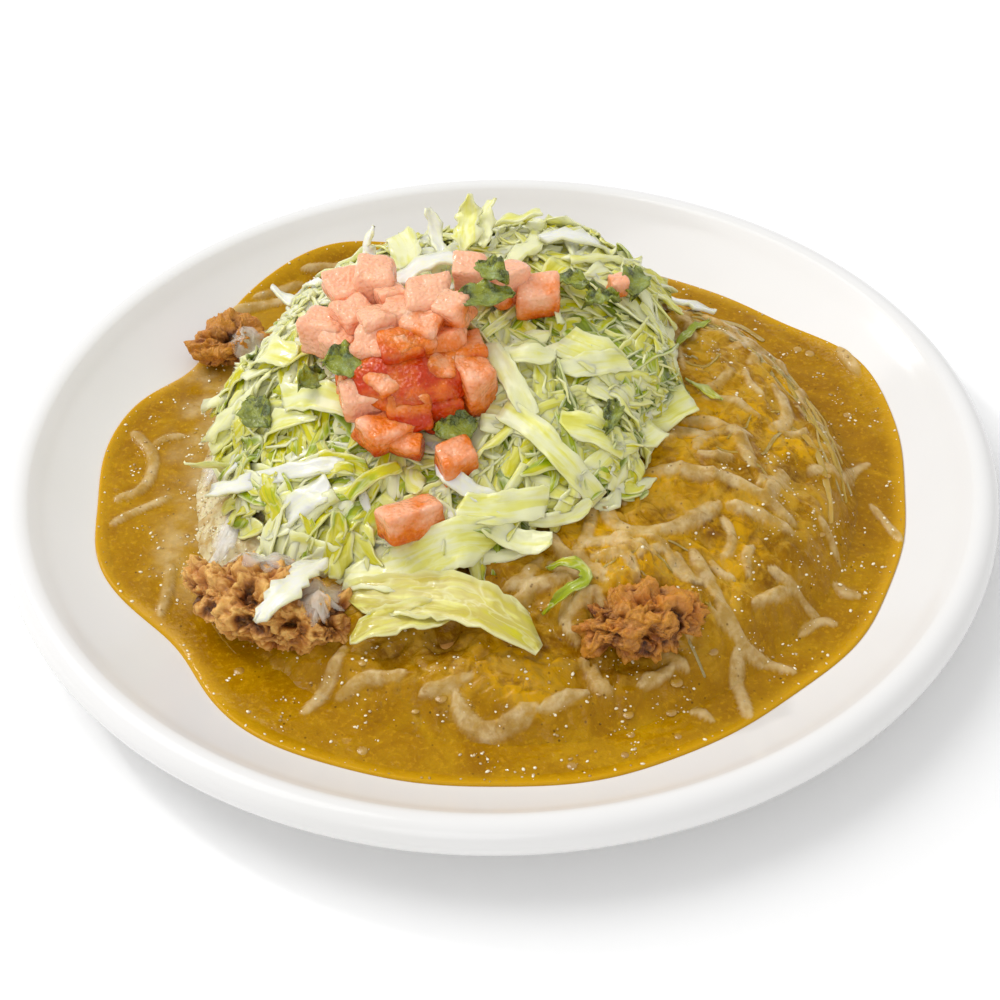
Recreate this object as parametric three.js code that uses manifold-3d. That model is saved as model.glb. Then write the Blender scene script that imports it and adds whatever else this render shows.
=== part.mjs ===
// Frybread taco served in its dish: a round white plate with a rolled lip, a pool of gravy, a puffed
// round of frybread under melted cheese, crumbled browned beef, a bed of shredded lettuce, diced
// tomato and a few dark green leaves. Millimetres, +Z up, origin under the centre of the plate.
import * as THREE from "three";
import { mergeVertices } from "three/addons/utils/BufferGeometryUtils.js";
import Module from "manifold-3d";

const wasm = await Module();
wasm.setup();

// Fineness and fit
const SPOKES = 42;
const BED_SPOKES = 28;
const GAP = 0.35;
const PLATE_CLEARANCE = 0.4;
const BELOW_ALL = -5;

// Plate
const PLATE_RADIUS = 150;
const LIP_RADIUS = 5.4;
const LIP_CENTRE_Z = 19.9;
const LIP_START_DEG = 150;
const LIP_END_DEG = -80;
const LIP_STEPS = 6;
const FLOOR_Z = 6;
const FLOOR_RADIUS = 96;
const WELL_RADIUS = 138.5;
const WELL_RISE = 15.5;
const WELL_STEPS = 5;
const FOOT_OUTER_RADIUS = 90;
const FOOT_INNER_RADIUS = 84;
const FOOT_HEIGHT = 2.4;
const UNDERSIDE = [[139, 14.2], [126, 9], [108, 4.6]];

// Gravy: the pool's level, and how far its outline swells or draws in at some angles,
// as [angle in degrees, change of radius, angular width]
const SAUCE_LEVEL = 12.5;
const SAUCE_RADIUS = 124;
const SAUCE_FILM = 1.2;
const SAUCE_EDGE_THICKNESS = 0.5;
const SAUCE_EDGE_ROUND = 7;
const SAUCE_SWELLS = [
  [20, 5, 12],
  [48, -4, 14],
  [74, -6, 13],
  [118, 8, 14],
  [151, -7, 9],
  [216, -9, 11],
  [307, -1.5, 14],
];

// Mound: frybread under its blanket of cheese and gravy
const MOUND_CENTRE = [5, -8];
const MOUND_RADIUS = 101;
const MOUND_EDGE_Z = 14;
const MOUND_RISE = 26;
const BREAD_INSET = 8;
const BREAD_TOP_Z = 27;
const CHEESE_THICKNESS = 4;
// Swells and hollows of the mound, as [x, y, height, width]
const MOUND_SWELLS = [
  [2, -92, 4, 14],
  [-30, -92, 3, 12],
  [10, -76, -4, 12],
  [40, -80, -4, 15],
  [60, -30, 3, 16],
  [78, 18, 2, 14],
  [88, -14, -3, 12],
  [70, -62, -3, 14],
  [76, 48, 4, 16],
];

// Lettuce bed
const BED_CENTRE = [-12, -4];
const BED_RADIUS = 66;
const BED_LIFT = 26;
const BED_BACK_LIFT = 5;
const BED_UNDER_Z = 12;
const SHRED_THICKNESS = 1.3;
const SHRED_END_SHARE = 0.45;
const SHRED_STEPS = 4;
const LOOSE_SHREDS = 52;
const LOOSE_SHRED_STEPS = 3;
const LOOSE_SHRED_LENGTH = 40;
const LOOSE_SHRED_SHORTENING = 16;
const LOOSE_SHRED_WIDTH = 5;
const LOOSE_SHRED_WIDTH_SPREAD = 4;
const LOOSE_SHRED_BOW = 3;
const LOOSE_SHRED_HEIGHT = -1;
const SHRED_SPACING = 10;
const SHRED_SINK = 2.2;

// The long strips that show, as [width, points]; each point is [x, y, height over the bed], and
// a height under SHRED_SINK lies sunk in it
const LETTUCE_STRIPS = [
  [9, [[13, 44, 2], [30, 46, 2], [46, 52, 4], [60, 56, 3], [70, 52, 2]]],
  [9, [[-92, -19, 20], [-80, -8, 3], [-66, -14, 2], [-52, -18, 1]]],
  [5, [[-86, -22, 9], [-72, -27, 4], [-57, -32, 3], [-44, -33, 1]]],
  [8, [[-62, -41, 3], [-55, -40, 3], [-48, -38, 1]]],
  [7, [[-66, -72, 6], [-59, -66, 5], [-49, -54, 2]]],
  [10, [[-70, -43, 3], [-57, -50, 2], [-42, -57, 1]]],
  [14, [[-44, -57, 2], [-28, -61, 3], [-12, -60, 3], [0, -57, 1]]],
  [9, [[-44, -64, 2], [-28, -70, 4], [-12, -76, 6], [0, -85, 6], [11, -91, 4]]],
  [8, [[-40, -84, 4], [-34, -80, 5], [-26, -78, 5], [-14, -76, 3]]],
  [9, [[-12, -51, 3], [-2, -52, 4], [7, -51, 4], [14, -49, 2]]],
  [4, [[8, -53, 2], [17, -52, 4], [26, -48, 5]]],
  [5, [[-18, -38, 3], [-11, -45, 4], [1, -51, 3]]],
  [7, [[1, -25, 2], [10, -33, 4], [18, -41, 5], [28, -46, 4]]],
  [6, [[-3, -5, 2], [3, -17, 4], [9, -29, 3]]],
  [12, [[18, -4, 1], [32, -10, 3], [45, -12, 5], [58, -4, 5]]],
  [8, [[26, -17, 2], [35, -21, 3], [41, -24, 4], [47, -19, 5]]],
  [7, [[18, -16, 3], [28, -12, 4], [38, -7, 3]]],
  [8, [[17, -30, 2], [26, -32, 3], [36, -34, 4]]],
  [7, [[-4, -54, 2], [5, -58, 4], [14, -61, 6]]],
  [3, [[-74, 48, 8], [-68, 36, 6], [-60, 20, 2]]],
  [4, [[-37, 40, 14], [-39, 38, 7], [-35, 32, 2]]],
  [4, [[-20, 50, 12], [-18, 44, 4], [-16, 36, 1]]],
  [8, [[-8, 51, 15], [-8, 48, 8], [-9, 34, 2]]],
  [5, [[0, 52, 12], [-3, 48, 7], [-3, 36, 2]]],
  [6, [[-2, 51, 3], [6, 53, 4], [15, 56, 5]]],
  [7, [[-30, 20, 2], [-20, 26, 4], [-10, 28, 3]]],
  [9, [[-30, 47, 6], [-28, 42, 4], [-26, 30, 2]]],
  [9, [[-64, -7, 2], [-52, -14, 4], [-42, -18, 2]]],
  [9, [[-78, 22, 3], [-69, 12, 3], [-60, 4, 2]]],
  [4, [[-43, -43, 2], [-36, -40, 4], [-28, -36, 2]]],
  [6, [[0, -10, 2], [9, -12, 4], [17, -11, 2]]],
];

// Heights from here on are over the top of the lettuce bed or, beyond it, of what lies there.
// Tomato dice of the heap, as [x, y, height, width, depth, height, turn, tilt], turns in degrees
const TOMATO_CORE = { at: [-24, -10, 1], radii: [24, 17, 8] };
const TOMATO_DICE = [
  [-43, 17, 7, 12, 12, 12, 20, 12],
  [-35, 15, 9, 11, 11, 12, -14, 6],
  [-49, 4, 6, 13, 11, 11, -25, -8],
  [-41, 4, 9, 10, 10, 10, 32, 10],
  [-20, 2, 9, 12, 11, 12, 8, 14],
  [-28, -1, 10, 10, 10, 10, -18, -6],
  [-34, -10, 11, 12, 10, 10, -14, 18],
  [-24, -11, 12, 11, 10, 10, 26, 10],
  [-15, -8, 9, 12, 10, 11, 22, -14],
  [-7, -17, 6, 10, 12, 13, 40, 10],
  [-38, -21, 8, 12, 9, 9, 14, 20],
  [-25, -24, 8, 12, 10, 10, -6, -12],
  [-32, -29, 5, 13, 10, 9, 26, 8],
  [-16, -22, 6, 11, 10, 10, 12, 16],
];
// Dice that lie apart from the heap
const LOOSE_DICE = [
  [-12, -39, 5, 13, 11, 11, 28, 14],
  [-25, -53, 6, 17, 10, 10, 24, -16],
  [36, 20, 4, 5, 5, 5, 15, 10],
  [-7, 14, 7, 9, 11, 13, -12, 6],
  [3, 12, 6, 10, 10, 11, 38, -10],
  [13, 7, 5, 11, 10, 10, 10, 12],
];

// Dark leaves, as [x, y, height, length, width, turn, tilt, curl]
const GREEN_LEAVES = [
  [-4, -2, 14, 19, 6, 12, -24, 2.5],
  [-1, 4, 17, 12, 6, -50, -16, 2],
  [-43, -15, 15, 12, 8, 10, -36, 1.5],
  [-54, -9, 6, 9, 6, 50, -30, 1],
  [41, 23, 6, 15, 7, 84, -20, 2],
  [-71, -8, 5, 14, 8, -60, -24, 1.5],
  [22, 17, 4, 12, 5, -20, -8, 1.5],
  [31, 12, 4, 10, 4, 12, -10, 1],
  [-12, -29, 5, 12, 8, 20, -30, 1.5],
  [32, -27, 4, 13, 4, 78, -18, 2],
];
const LEAF_THICKNESS = 0.8;
const LEAF_RIPPLE = 0.8;

// Slivers of green, as [width, points]
const GREEN_SLIVERS = [
  [2.6, [[68, 46, 2], [61, 36, 2], [54, 24, 2]]],
  [2.4, [[57, 11, 2], [62, 4, 2], [67, -1, 2]]],
  [2.8, [[14, -67, 3], [21, -69, 4], [19, -73, 3], [12, -76, 2]]],
];

// Strands of melted cheese in the gravy and over the mound, as [width, points]
const SAUCE_STRANDS = [
  [4.2, [[-116, 23], [-109, 13], [-108, 2], [-111, -5], [-117, -8]]],
  [3.4, [[-117, -19], [-109, -13], [-101, -8]]],
  [3.8, [[-97, -38], [-97, -48], [-98, -57]]],
  [4.4, [[-90, 85], [-81, 89], [-71, 93]]],
  [5, [[-47, 115], [-44, 114], [-40, 112]]],
  [3, [[112, -18], [115, -25], [118, -34]]],
  [4.6, [[97, -52], [99, -55], [102, -56]]],
];
const MOUND_STRANDS = [
  [4, [[29, -36], [31, -49], [39, -54], [51, -49], [62, -42]]],
  [4.2, [[62, -33], [70, -35], [77, -38], [84, -41]]],
  [3.8, [[65, -42], [74, -43], [83, -45]]],
  [3.6, [[26, -41], [25, -51], [22, -58]]],
  [4.6, [[43, -31], [53, -32], [64, -34]]],
  [4.8, [[54, -58], [56, -62], [58, -67]]],
  [4, [[59, -70], [62, -78], [70, -80]]],
  [4.2, [[65, -84], [64, -90], [65, -97]]],
  [4.2, [[1, -75], [5, -71], [9, -67]]],
  [4, [[-53, -95], [-50, -91], [-45, -83]]],
  [3.4, [[-45, -92], [-36, -91], [-27, -92]]],
  [4.2, [[-13, -98], [-11, -102], [-6, -106]]],
  [3.6, [[50, 56], [52, 46], [57, 36]]],
  [3, [[72, 40], [80, 36], [88, 26]]],
];
const STRAND_FLATTEN = 0.55;
const STRAND_LIFT = 0.2;

// Crumbles of browned beef, as [x, y, height, three radii, turn, seed]
const BEEF_CRUMBLES = [
  [-67, -63, 3.5, 27, 14, 10, -24, 3],
  [38, -80, 4, 18, 11, 9, 8, 11],
  [-91, 66, 5, 13, 10, 7, 30, 19],
];
const BEEF_KNOBS = 0.22;
const BEEF_CREASES = 0.2;

const DEGREES = Math.PI / 180;

// Repeatable draws between 0 and 1
function seededDraws(seed) {
  let state = seed;
  return () => {
    state = (state * 1664525 + 1013904223) % 4294967296;
    return state / 4294967296;
  };
}

// Difference between two angles, folded into half a turn either way
function turnBetween(a, b) {
  return Math.atan2(Math.sin(a - b), Math.cos(a - b));
}

function bell(distance, width) {
  return Math.exp(-((distance / width) ** 2));
}

// Surfaces

// Height of the plate's upper face at a distance from its centre
function plateHeight(radius) {
  const along = Math.max(0, radius - FLOOR_RADIUS) / (WELL_RADIUS - FLOOR_RADIUS);
  return FLOOR_Z + WELL_RISE * along ** 2;
}

// Radius of the gravy's outline at an angle about the plate's centre
function sauceEdge(angle) {
  let radius = SAUCE_RADIUS;
  for (const [degrees, change, width] of SAUCE_SWELLS) {
    radius += change * bell(turnBetween(angle, degrees * DEGREES), width * DEGREES);
  }
  return radius;
}

// Radius of the mound's outline at an angle about its own centre
function moundEdge(angle) {
  return MOUND_RADIUS + 2 * Math.cos(angle - 0.3) + 1.4 * Math.sin(3 * angle + 0.6);
}

// Angle about a centre, and distance as a share of an outline's radius
function placeIn([centreX, centreY], edge, x, y) {
  const angle = Math.atan2(y - centreY, x - centreX);
  const share = Math.hypot(x - centreX, y - centreY) / edge(angle);
  return { angle, share };
}

// Upper face of the gravy, rounded down to the plate along its edge
function sauceTop(x, y) {
  const radius = Math.hypot(x, y);
  const plate = plateHeight(radius) + GAP;
  const full = Math.max(SAUCE_LEVEL, plate + SAUCE_FILM);
  const inside = (sauceEdge(Math.atan2(y, x)) - radius) / SAUCE_EDGE_ROUND;
  const round = Math.sqrt(1 - (1 - Math.min(1, Math.max(0, inside))) ** 2);
  return plate + SAUCE_EDGE_THICKNESS + (full - plate - SAUCE_EDGE_THICKNESS) * round;
}

// Upper face of the cheese over the frybread
function moundTop(x, y) {
  const { angle, share } = placeIn(MOUND_CENTRE, moundEdge, x, y);
  const inner = Math.min(1, share);
  const fullness = 2.8 + 1.7 * Math.cos(angle - 0.6);
  let height = MOUND_EDGE_Z + MOUND_RISE * (1 - inner ** fullness) ** 0.75;
  for (const [swellX, swellY, rise, width] of MOUND_SWELLS) {
    height += rise * bell(Math.hypot(x - swellX, y - swellY), width) * (1 - inner ** 8);
  }
  return height;
}

function breadTop(x, y) {
  return Math.min(BREAD_TOP_Z, moundTop(x, y) - CHEESE_THICKNESS);
}

// Radius of the lettuce bed: it reaches furthest at the back right
function bedEdge(angle) {
  const reach = 17 * bell(turnBetween(angle, 0.95), 0.5);
  const ragged = 2.2 * Math.sin(7 * angle) + 1.6 * Math.sin(11 * angle + 1);
  return BED_RADIUS + 8 * Math.sin(angle) - 5 * Math.cos(angle) + reach + ragged;
}

// Upper face of the lettuce bed: steep at the back, sloping at the front
function bedTop(x, y) {
  const { angle, share } = placeIn(BED_CENTRE, bedEdge, x, y);
  const fullness = 4.5 + 3.5 * Math.sin(angle);
  const lift = BED_LIFT + BED_BACK_LIFT * Math.sin(angle);
  const thickness = lift * (1 - Math.min(1, share) ** fullness) ** 0.6;
  return Math.max(moundTop(x, y), SAUCE_LEVEL) + thickness;
}

// A point given by its height over the food
function onFood([x, y, height]) {
  return [x, y, bedTop(x, y) + height];
}

// Solids

// A closed three.js geometry as a solid, with its normals facing out
function solidOf(geometry) {
  const bare = geometry.clone();
  bare.deleteAttribute("normal");
  bare.deleteAttribute("uv");
  const merged = mergeVertices(bare, 1e-4);
  const positions = merged.attributes.position.array;
  const index = merged.index.array;
  const triangles = [];
  let volume = 0;
  for (let i = 0; i < index.length; i += 3) {
    const [a, b, c] = [index[i], index[i + 1], index[i + 2]];
    if (a === b || b === c || c === a) continue;
    triangles.push(a, b, c);
    const corner = (n) => new THREE.Vector3().fromArray(positions, 3 * n);
    volume += corner(a).dot(corner(b).cross(corner(c)));
  }
  if (volume < 0) triangles.reverse();
  const mesh = new wasm.Mesh({
    numProp: 3,
    vertProperties: new Float32Array(positions),
    triVerts: new Uint32Array(triangles),
  });
  return new wasm.Manifold(mesh);
}

// The largest body of a solid, without loose scraps or sealed hollows
function largestBody(solid) {
  const bodies = solid.decompose();
  return bodies.reduce((best, body) => (body.volume() > best.volume() ? body : best));
}

function joined(solids) {
  return solids.reduce((whole, solid) => whole.add(solid));
}

// A layer turned about an axis: the profile lists [share of the radius, side], and place
// gives the point for an angle, a share and a side
function layer(profile, closed, place, spokes = SPOKES) {
  const points = profile.map(([share, side]) => new THREE.Vector2(share, side));
  if (closed) points.push(points[0].clone());
  const geometry = new THREE.LatheGeometry(points, spokes);
  const position = geometry.attributes.position;
  for (let i = 0; i < position.count; i += 1) {
    const share = Math.hypot(position.getX(i), position.getZ(i));
    const step = Math.floor(i / points.length) % spokes;
    const angle = (2 * Math.PI * step) / spokes;
    position.setXYZ(i, ...place(angle, share, position.getY(i)));
  }
  return solidOf(geometry);
}

// Point on a ray from a centre
function pointAt([centreX, centreY], angle, distance) {
  return [centreX + distance * Math.cos(angle), centreY + distance * Math.sin(angle)];
}

// Bends a geometry that runs from -0.5 to 0.5 along Z onto a curve; narrowing gives the
// share of its width at each stretch of the curve
function bentAlong(geometry, curve, narrowing) {
  const chord = curve.getPoint(1).sub(curve.getPoint(0)).normalize();
  const steep = Math.abs(chord.z) > 0.8;
  const upward = steep ? new THREE.Vector3(0, -1, 0) : new THREE.Vector3(0, 0, 1);
  const position = geometry.attributes.position;
  for (let i = 0; i < position.count; i += 1) {
    const t = THREE.MathUtils.clamp(position.getZ(i) + 0.5, 0, 1);
    const tangent = curve.getTangent(t);
    const side = tangent.clone().cross(upward).normalize();
    const normal = side.clone().cross(tangent);
    const point = curve.getPoint(t);
    point.addScaledVector(side, position.getX(i) * narrowing(t));
    point.addScaledVector(normal, position.getY(i));
    position.setXYZ(i, point.x, point.y, point.z);
  }
  return geometry;
}

function smoothCurve(points) {
  return new THREE.CatmullRomCurve3(points.map((point) => new THREE.Vector3(...point)));
}

// A shred: a flat strip along a curve, narrower at its ends
function shred(points, width, thickness, steps = SHRED_STEPS) {
  const geometry = new THREE.BoxGeometry(width, thickness, 1, 1, 1, steps);
  const narrowing = (t) => SHRED_END_SHARE + (1 - SHRED_END_SHARE) * Math.sin(Math.PI * t);
  return solidOf(bentAlong(geometry, smoothCurve(points), narrowing));
}

// A strand of cheese: a flattened rod with round ends, half sunk in what it lies on
function strand(points, width, grow) {
  const radius = width / 2 + grow;
  const geometry = new THREE.CapsuleGeometry(1, 8, 1, 6, 3);
  geometry.rotateX(Math.PI / 2);
  geometry.scale(radius, radius * STRAND_FLATTEN, 0.1);
  return solidOf(bentAlong(geometry, smoothCurve(points), () => 1));
}

// A die of tomato
function die([x, y, above, width, depth, height, turn, tilt], grow) {
  const geometry = new THREE.BoxGeometry(width + 2 * grow, depth + 2 * grow, height + 2 * grow);
  geometry.rotateX(tilt * DEGREES);
  geometry.rotateZ(turn * DEGREES);
  geometry.translate(...onFood([x, y, above]));
  return solidOf(geometry);
}

// A thin leaf with pointed ends, curled along its length
function leaf([x, y, above, length, width, turn, tilt, curl], grow) {
  const half = length / 2 + grow;
  const shape = new THREE.Shape();
  shape.moveTo(-half, 0);
  shape.quadraticCurveTo(0, -width - grow, half, 0);
  shape.quadraticCurveTo(0, width + grow, -half, 0);
  const depth = LEAF_THICKNESS + 2 * grow;
  const geometry = new THREE.ExtrudeGeometry(shape, { depth, bevelEnabled: false, curveSegments: 5 });
  const position = geometry.attributes.position;
  for (let i = 0; i < position.count; i += 1) {
    const along = position.getX(i) / half;
    const across = position.getY(i) / width;
    const rise = curl * (0.6 - along ** 2) + LEAF_RIPPLE * Math.sin(3 * along + 2 * across);
    position.setZ(i, position.getZ(i) - depth / 2 + rise);
  }
  geometry.rotateX(-tilt * DEGREES);
  geometry.rotateZ(turn * DEGREES);
  geometry.translate(...onFood([x, y, above]));
  return solidOf(geometry);
}

// A crumble of browned beef: a lump with knobs and creases
function crumble([x, y, above, radiusX, radiusY, radiusZ, turn, seed], grow) {
  const geometry = new THREE.IcosahedronGeometry(1, 3);
  const position = geometry.attributes.position;
  const point = new THREE.Vector3();
  for (let i = 0; i < position.count; i += 1) {
    point.fromBufferAttribute(position, i);
    const around = Math.sin(6 * point.x + seed) * Math.cos(5 * point.y - seed);
    const knobs = around * Math.sin(5 * point.z + 2 * seed);
    const crease = Math.abs(Math.sin(4 * point.x + 5 * point.y + 3 * point.z + seed)) - 0.6;
    point.multiplyScalar(1 + BEEF_KNOBS * knobs + BEEF_CREASES * crease);
    position.setXYZ(i, point.x * (radiusX + grow), point.y * (radiusY + grow), point.z * (radiusZ + grow));
  }
  geometry.rotateZ(turn * DEGREES);
  geometry.translate(...onFood([x, y, above]));
  return solidOf(geometry);
}

// The plate

function plateLayer(lift) {
  const lipRadius = PLATE_RADIUS - LIP_RADIUS;
  const profile = [[0, FLOOR_Z]];
  for (let i = 0; i <= WELL_STEPS; i += 1) {
    const radius = FLOOR_RADIUS + ((WELL_RADIUS - FLOOR_RADIUS) * i) / WELL_STEPS;
    profile.push([radius, plateHeight(radius)]);
  }
  for (let i = 0; i <= LIP_STEPS; i += 1) {
    const angle = (LIP_START_DEG + ((LIP_END_DEG - LIP_START_DEG) * i) / LIP_STEPS) * DEGREES;
    profile.push([lipRadius + LIP_RADIUS * Math.cos(angle), LIP_CENTRE_Z + LIP_RADIUS * Math.sin(angle)]);
  }
  profile.push(...UNDERSIDE);
  profile.push([FOOT_OUTER_RADIUS + 1, FOOT_HEIGHT], [FOOT_OUTER_RADIUS, 0], [FOOT_INNER_RADIUS, 0]);
  profile.push([FOOT_INNER_RADIUS - 1, FOOT_HEIGHT], [0, FOOT_HEIGHT]);
  return layer(profile, false, (angle, radius, z) => [...pointAt([0, 0], angle, radius), z + lift]);
}

// The gravy, a ring about the frybread; its shares run from 1 at the bread to 2 at its edge

const SAUCE_PROFILE = [
  [1, 0], [1.4, 0], [1.75, 0], [2, 0],
  [2, 1], [1.96, 1], [1.86, 1], [1.68, 1], [1.4, 1], [1, 1],
];

function sauceLayer(lift, underZ) {
  return layer(SAUCE_PROFILE, true, (angle, share, side) => {
    const [innerX, innerY] = pointAt(MOUND_CENTRE, angle, moundEdge(angle) - BREAD_INSET + GAP);
    const [outerX, outerY] = pointAt([0, 0], angle, sauceEdge(angle));
    const x = innerX + (outerX - innerX) * (share - 1);
    const y = innerY + (outerY - innerY) * (share - 1);
    const under = underZ ?? plateHeight(Math.hypot(x, y)) + GAP;
    return [x, y, side ? sauceTop(x, y) + lift : under];
  });
}

function sauceStrands(grow) {
  return joined(SAUCE_STRANDS.map(([width, points]) => {
    const laid = points.map(([x, y]) => [x, y, sauceTop(x, y) + STRAND_LIFT]);
    return strand(laid, width, grow);
  }));
}

// The frybread and the cheese over it

const BREAD_SHARES = [0, 0.5, 0.85, 0.97];

function breadPoint(angle, share) {
  return pointAt(MOUND_CENTRE, angle, (moundEdge(angle) - BREAD_INSET) * share);
}

// Its top runs outward, as the cheese's underside does, so that both are split alike
function makeFrybread() {
  const profile = BREAD_SHARES.map((share) => [share, 1]);
  profile.push([1, 1], [1, 0], [0.9, 0], [0, 0]);
  return layer(profile, false, (angle, share, side) => {
    const [x, y] = breadPoint(angle, share);
    return [x, y, side ? breadTop(x, y) : plateHeight(Math.hypot(x, y)) + GAP];
  });
}

const CHEESE_TOP_SHARES = [1, 0.97, 0.93, 0.87, 0.8, 0.72, 0.62, 0.45, 0.2, 0];

// Sides of the cheese profile: 0 under the rim, 1 on the bread, 2 over the bread's corner,
// 3 beside the bread and 4 on top
const CHEESE_PROFILE = [
  ...BREAD_SHARES.map((share) => [share, 1]),
  [1, 2], [1, 3], [1, 0],
  ...CHEESE_TOP_SHARES.map((share) => [share, 4]),
];

function makeCheese() {
  return layer(CHEESE_PROFILE, false, (angle, share, side) => {
    const breadRadius = moundEdge(angle) - BREAD_INSET;
    const [cornerX, cornerY] = pointAt(MOUND_CENTRE, angle, breadRadius);
    if (side === 1) {
      const [x, y] = breadPoint(angle, share);
      return [x, y, breadTop(x, y) + GAP];
    }
    if (side === 2) {
      return [...pointAt(MOUND_CENTRE, angle, breadRadius + GAP), breadTop(cornerX, cornerY) + GAP];
    }
    if (side === 3) {
      return [...pointAt(MOUND_CENTRE, angle, breadRadius + 1.5 * GAP), SAUCE_LEVEL + GAP];
    }
    const [x, y] = pointAt(MOUND_CENTRE, angle, moundEdge(angle) * share);
    return [x, y, side === 0 ? sauceTop(x, y) + GAP : moundTop(x, y)];
  });
}

// All that lies under the cheese's upper face, grown by the gap, for cutting what rests on it
function moundBlock() {
  const profile = [[0, 0], [1, 0], ...CHEESE_TOP_SHARES.map((share) => [share, 4])];
  return layer(profile, false, (angle, share, side) => {
    const grow = share === 1 ? GAP : 0;
    const [x, y] = pointAt(MOUND_CENTRE, angle, moundEdge(angle) * share + grow);
    return [x, y, side ? moundTop(x, y) + GAP : BELOW_ALL];
  });
}

function moundStrands(grow) {
  return joined(MOUND_STRANDS.map(([width, points]) => {
    const laid = points.map(([x, y]) => [x, y, moundTop(x, y) + STRAND_LIFT]);
    return strand(laid, width, grow);
  }));
}

// The lettuce

const BED_SHARES = [1, 0.95, 0.83, 0.62, 0.35, 0];

function bedLayer(lift) {
  const profile = [[0, 0], [1, 0], ...BED_SHARES.map((share) => [share, 1])];
  return layer(profile, false, (angle, share, side) => {
    const [x, y] = pointAt(BED_CENTRE, angle, bedEdge(angle) * share);
    return [x, y, side ? bedTop(x, y) + lift : BED_UNDER_Z];
  }, BED_SPOKES);
}

function longStrips() {
  return LETTUCE_STRIPS.map(([width, points]) => {
    const laid = points.map(([x, y, height]) => onFood([x, y, height - SHRED_SINK]));
    return shred(laid, width, SHRED_THICKNESS);
  });
}

// Shreds spread evenly over the bed along a spiral, the longest first, where neither a long
// strip nor the tomato covers it
function looseShreds() {
  const draw = seededDraws(7);
  const goldenTurn = Math.PI * (3 - Math.sqrt(5));
  const covered = [...LETTUCE_STRIPS.flatMap(([, points]) => points), ...TOMATO_DICE];
  const shreds = [];
  for (let i = 0; i < LOOSE_SHREDS; i += 1) {
    const around = i * goldenTurn;
    const [x, y] = pointAt(BED_CENTRE, around, bedEdge(around) * Math.sqrt((i + 0.5) / LOOSE_SHREDS));
    const length = LOOSE_SHRED_LENGTH - (LOOSE_SHRED_SHORTENING * i) / LOOSE_SHREDS;
    const heading = draw() * Math.PI;
    const width = LOOSE_SHRED_WIDTH + LOOSE_SHRED_WIDTH_SPREAD * draw();
    const bow = LOOSE_SHRED_BOW * draw();
    if (covered.some(([otherX, otherY]) => Math.hypot(x - otherX, y - otherY) < SHRED_SPACING)) continue;
    const points = [-0.5, 0, 0.5].map((along) => [
      x + length * along * Math.cos(heading),
      y + length * along * Math.sin(heading),
      bow * (1 - 2 * Math.abs(along)) + LOOSE_SHRED_HEIGHT,
    ]);
    shreds.push(shred(points.map(onFood), width, SHRED_THICKNESS, LOOSE_SHRED_STEPS));
  }
  return shreds;
}

// The toppings, each cut clear of those laid before it

const mound = moundBlock();
const ground = joined([mound, sauceLayer(GAP, BELOW_ALL), moundStrands(GAP), sauceStrands(GAP)]);
const bedBlock = bedLayer(GAP);
const taken = [];

function fitted(solid, grownSolid, obstacles) {
  const clear = [...obstacles, ...taken].reduce((rest, obstacle) => rest.subtract(obstacle), solid);
  taken.push(grownSolid);
  return largestBody(clear);
}

function tomatoHeap(grow) {
  const { at, radii } = TOMATO_CORE;
  const core = new THREE.SphereGeometry(1, 8, 5);
  core.scale(radii[0] + grow, radii[1] + grow, radii[2] + grow);
  core.translate(...onFood(at));
  return joined([solidOf(core), ...TOMATO_DICE.map((piece) => die(piece, grow))]);
}

function sliver([width, points], grow) {
  return shred(points.map(onFood), width + 2 * grow, SHRED_THICKNESS + 2 * grow);
}

// Scene graph

const COLOURS = {
  plate: [0xf2f1ef, 0.15],
  sauce: [0xb18214, 0.25],
  frybread: [0xb9772c, 0.7],
  melted_cheese: [0xc39d4a, 0.3],
  beef: [0xa8622a, 0.6],
  lettuce: [0xd2cf74, 0.45],
  tomato: [0xe88a50, 0.3],
  green: [0x556a12, 0.5],
};

const group = new THREE.Group();

function addNode(name, look, solid) {
  const { vertProperties, triVerts } = solid.getMesh();
  const geometry = new THREE.BufferGeometry();
  geometry.setAttribute("position", new THREE.BufferAttribute(new Float32Array(vertProperties), 3));
  geometry.setIndex(new THREE.BufferAttribute(new Uint32Array(triVerts), 1));
  geometry.computeVertexNormals();
  const [color, roughness] = COLOURS[look];
  const mesh = new THREE.Mesh(geometry, new THREE.MeshStandardMaterial({ color, roughness, metalness: 0 }));
  mesh.name = name;
  group.add(mesh);
}

addNode("plate", "plate", plateLayer(0));
const sunkStrands = sauceStrands(0).subtract(plateLayer(PLATE_CLEARANCE)).subtract(mound);
addNode("sauce", "sauce", largestBody(sauceLayer(0).add(sunkStrands)));
addNode("frybread", "frybread", makeFrybread());
addNode("melted_cheese", "melted_cheese", largestBody(makeCheese().add(moundStrands(0))));

BEEF_CRUMBLES.forEach((piece, i) => {
  const solid = fitted(crumble(piece, 0), crumble(piece, GAP), [ground, bedBlock]);
  addNode(`beef_crumble_${i + 1}`, "beef", solid);
});

addNode("tomato_heap", "tomato", fitted(tomatoHeap(0), tomatoHeap(GAP), [bedBlock]));

LOOSE_DICE.forEach((piece, i) => {
  addNode(`tomato_die_${i + 1}`, "tomato", fitted(die(piece, 0), die(piece, GAP), [bedBlock, ground]));
});

GREEN_LEAVES.forEach((piece, i) => {
  addNode(`green_leaf_${i + 1}`, "green", fitted(leaf(piece, 0), leaf(piece, GAP), [bedBlock, ground]));
});

GREEN_SLIVERS.forEach((piece, i) => {
  const solid = fitted(sliver(piece, 0), sliver(piece, GAP), [bedBlock, ground]);
  addNode(`green_sliver_${i + 1}`, "green", solid);
});

const lettuce = joined([bedLayer(0), ...longStrips(), ...looseShreds()]);
addNode("lettuce", "lettuce", fitted(lettuce, lettuce, [ground]));

export default group;
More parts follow.
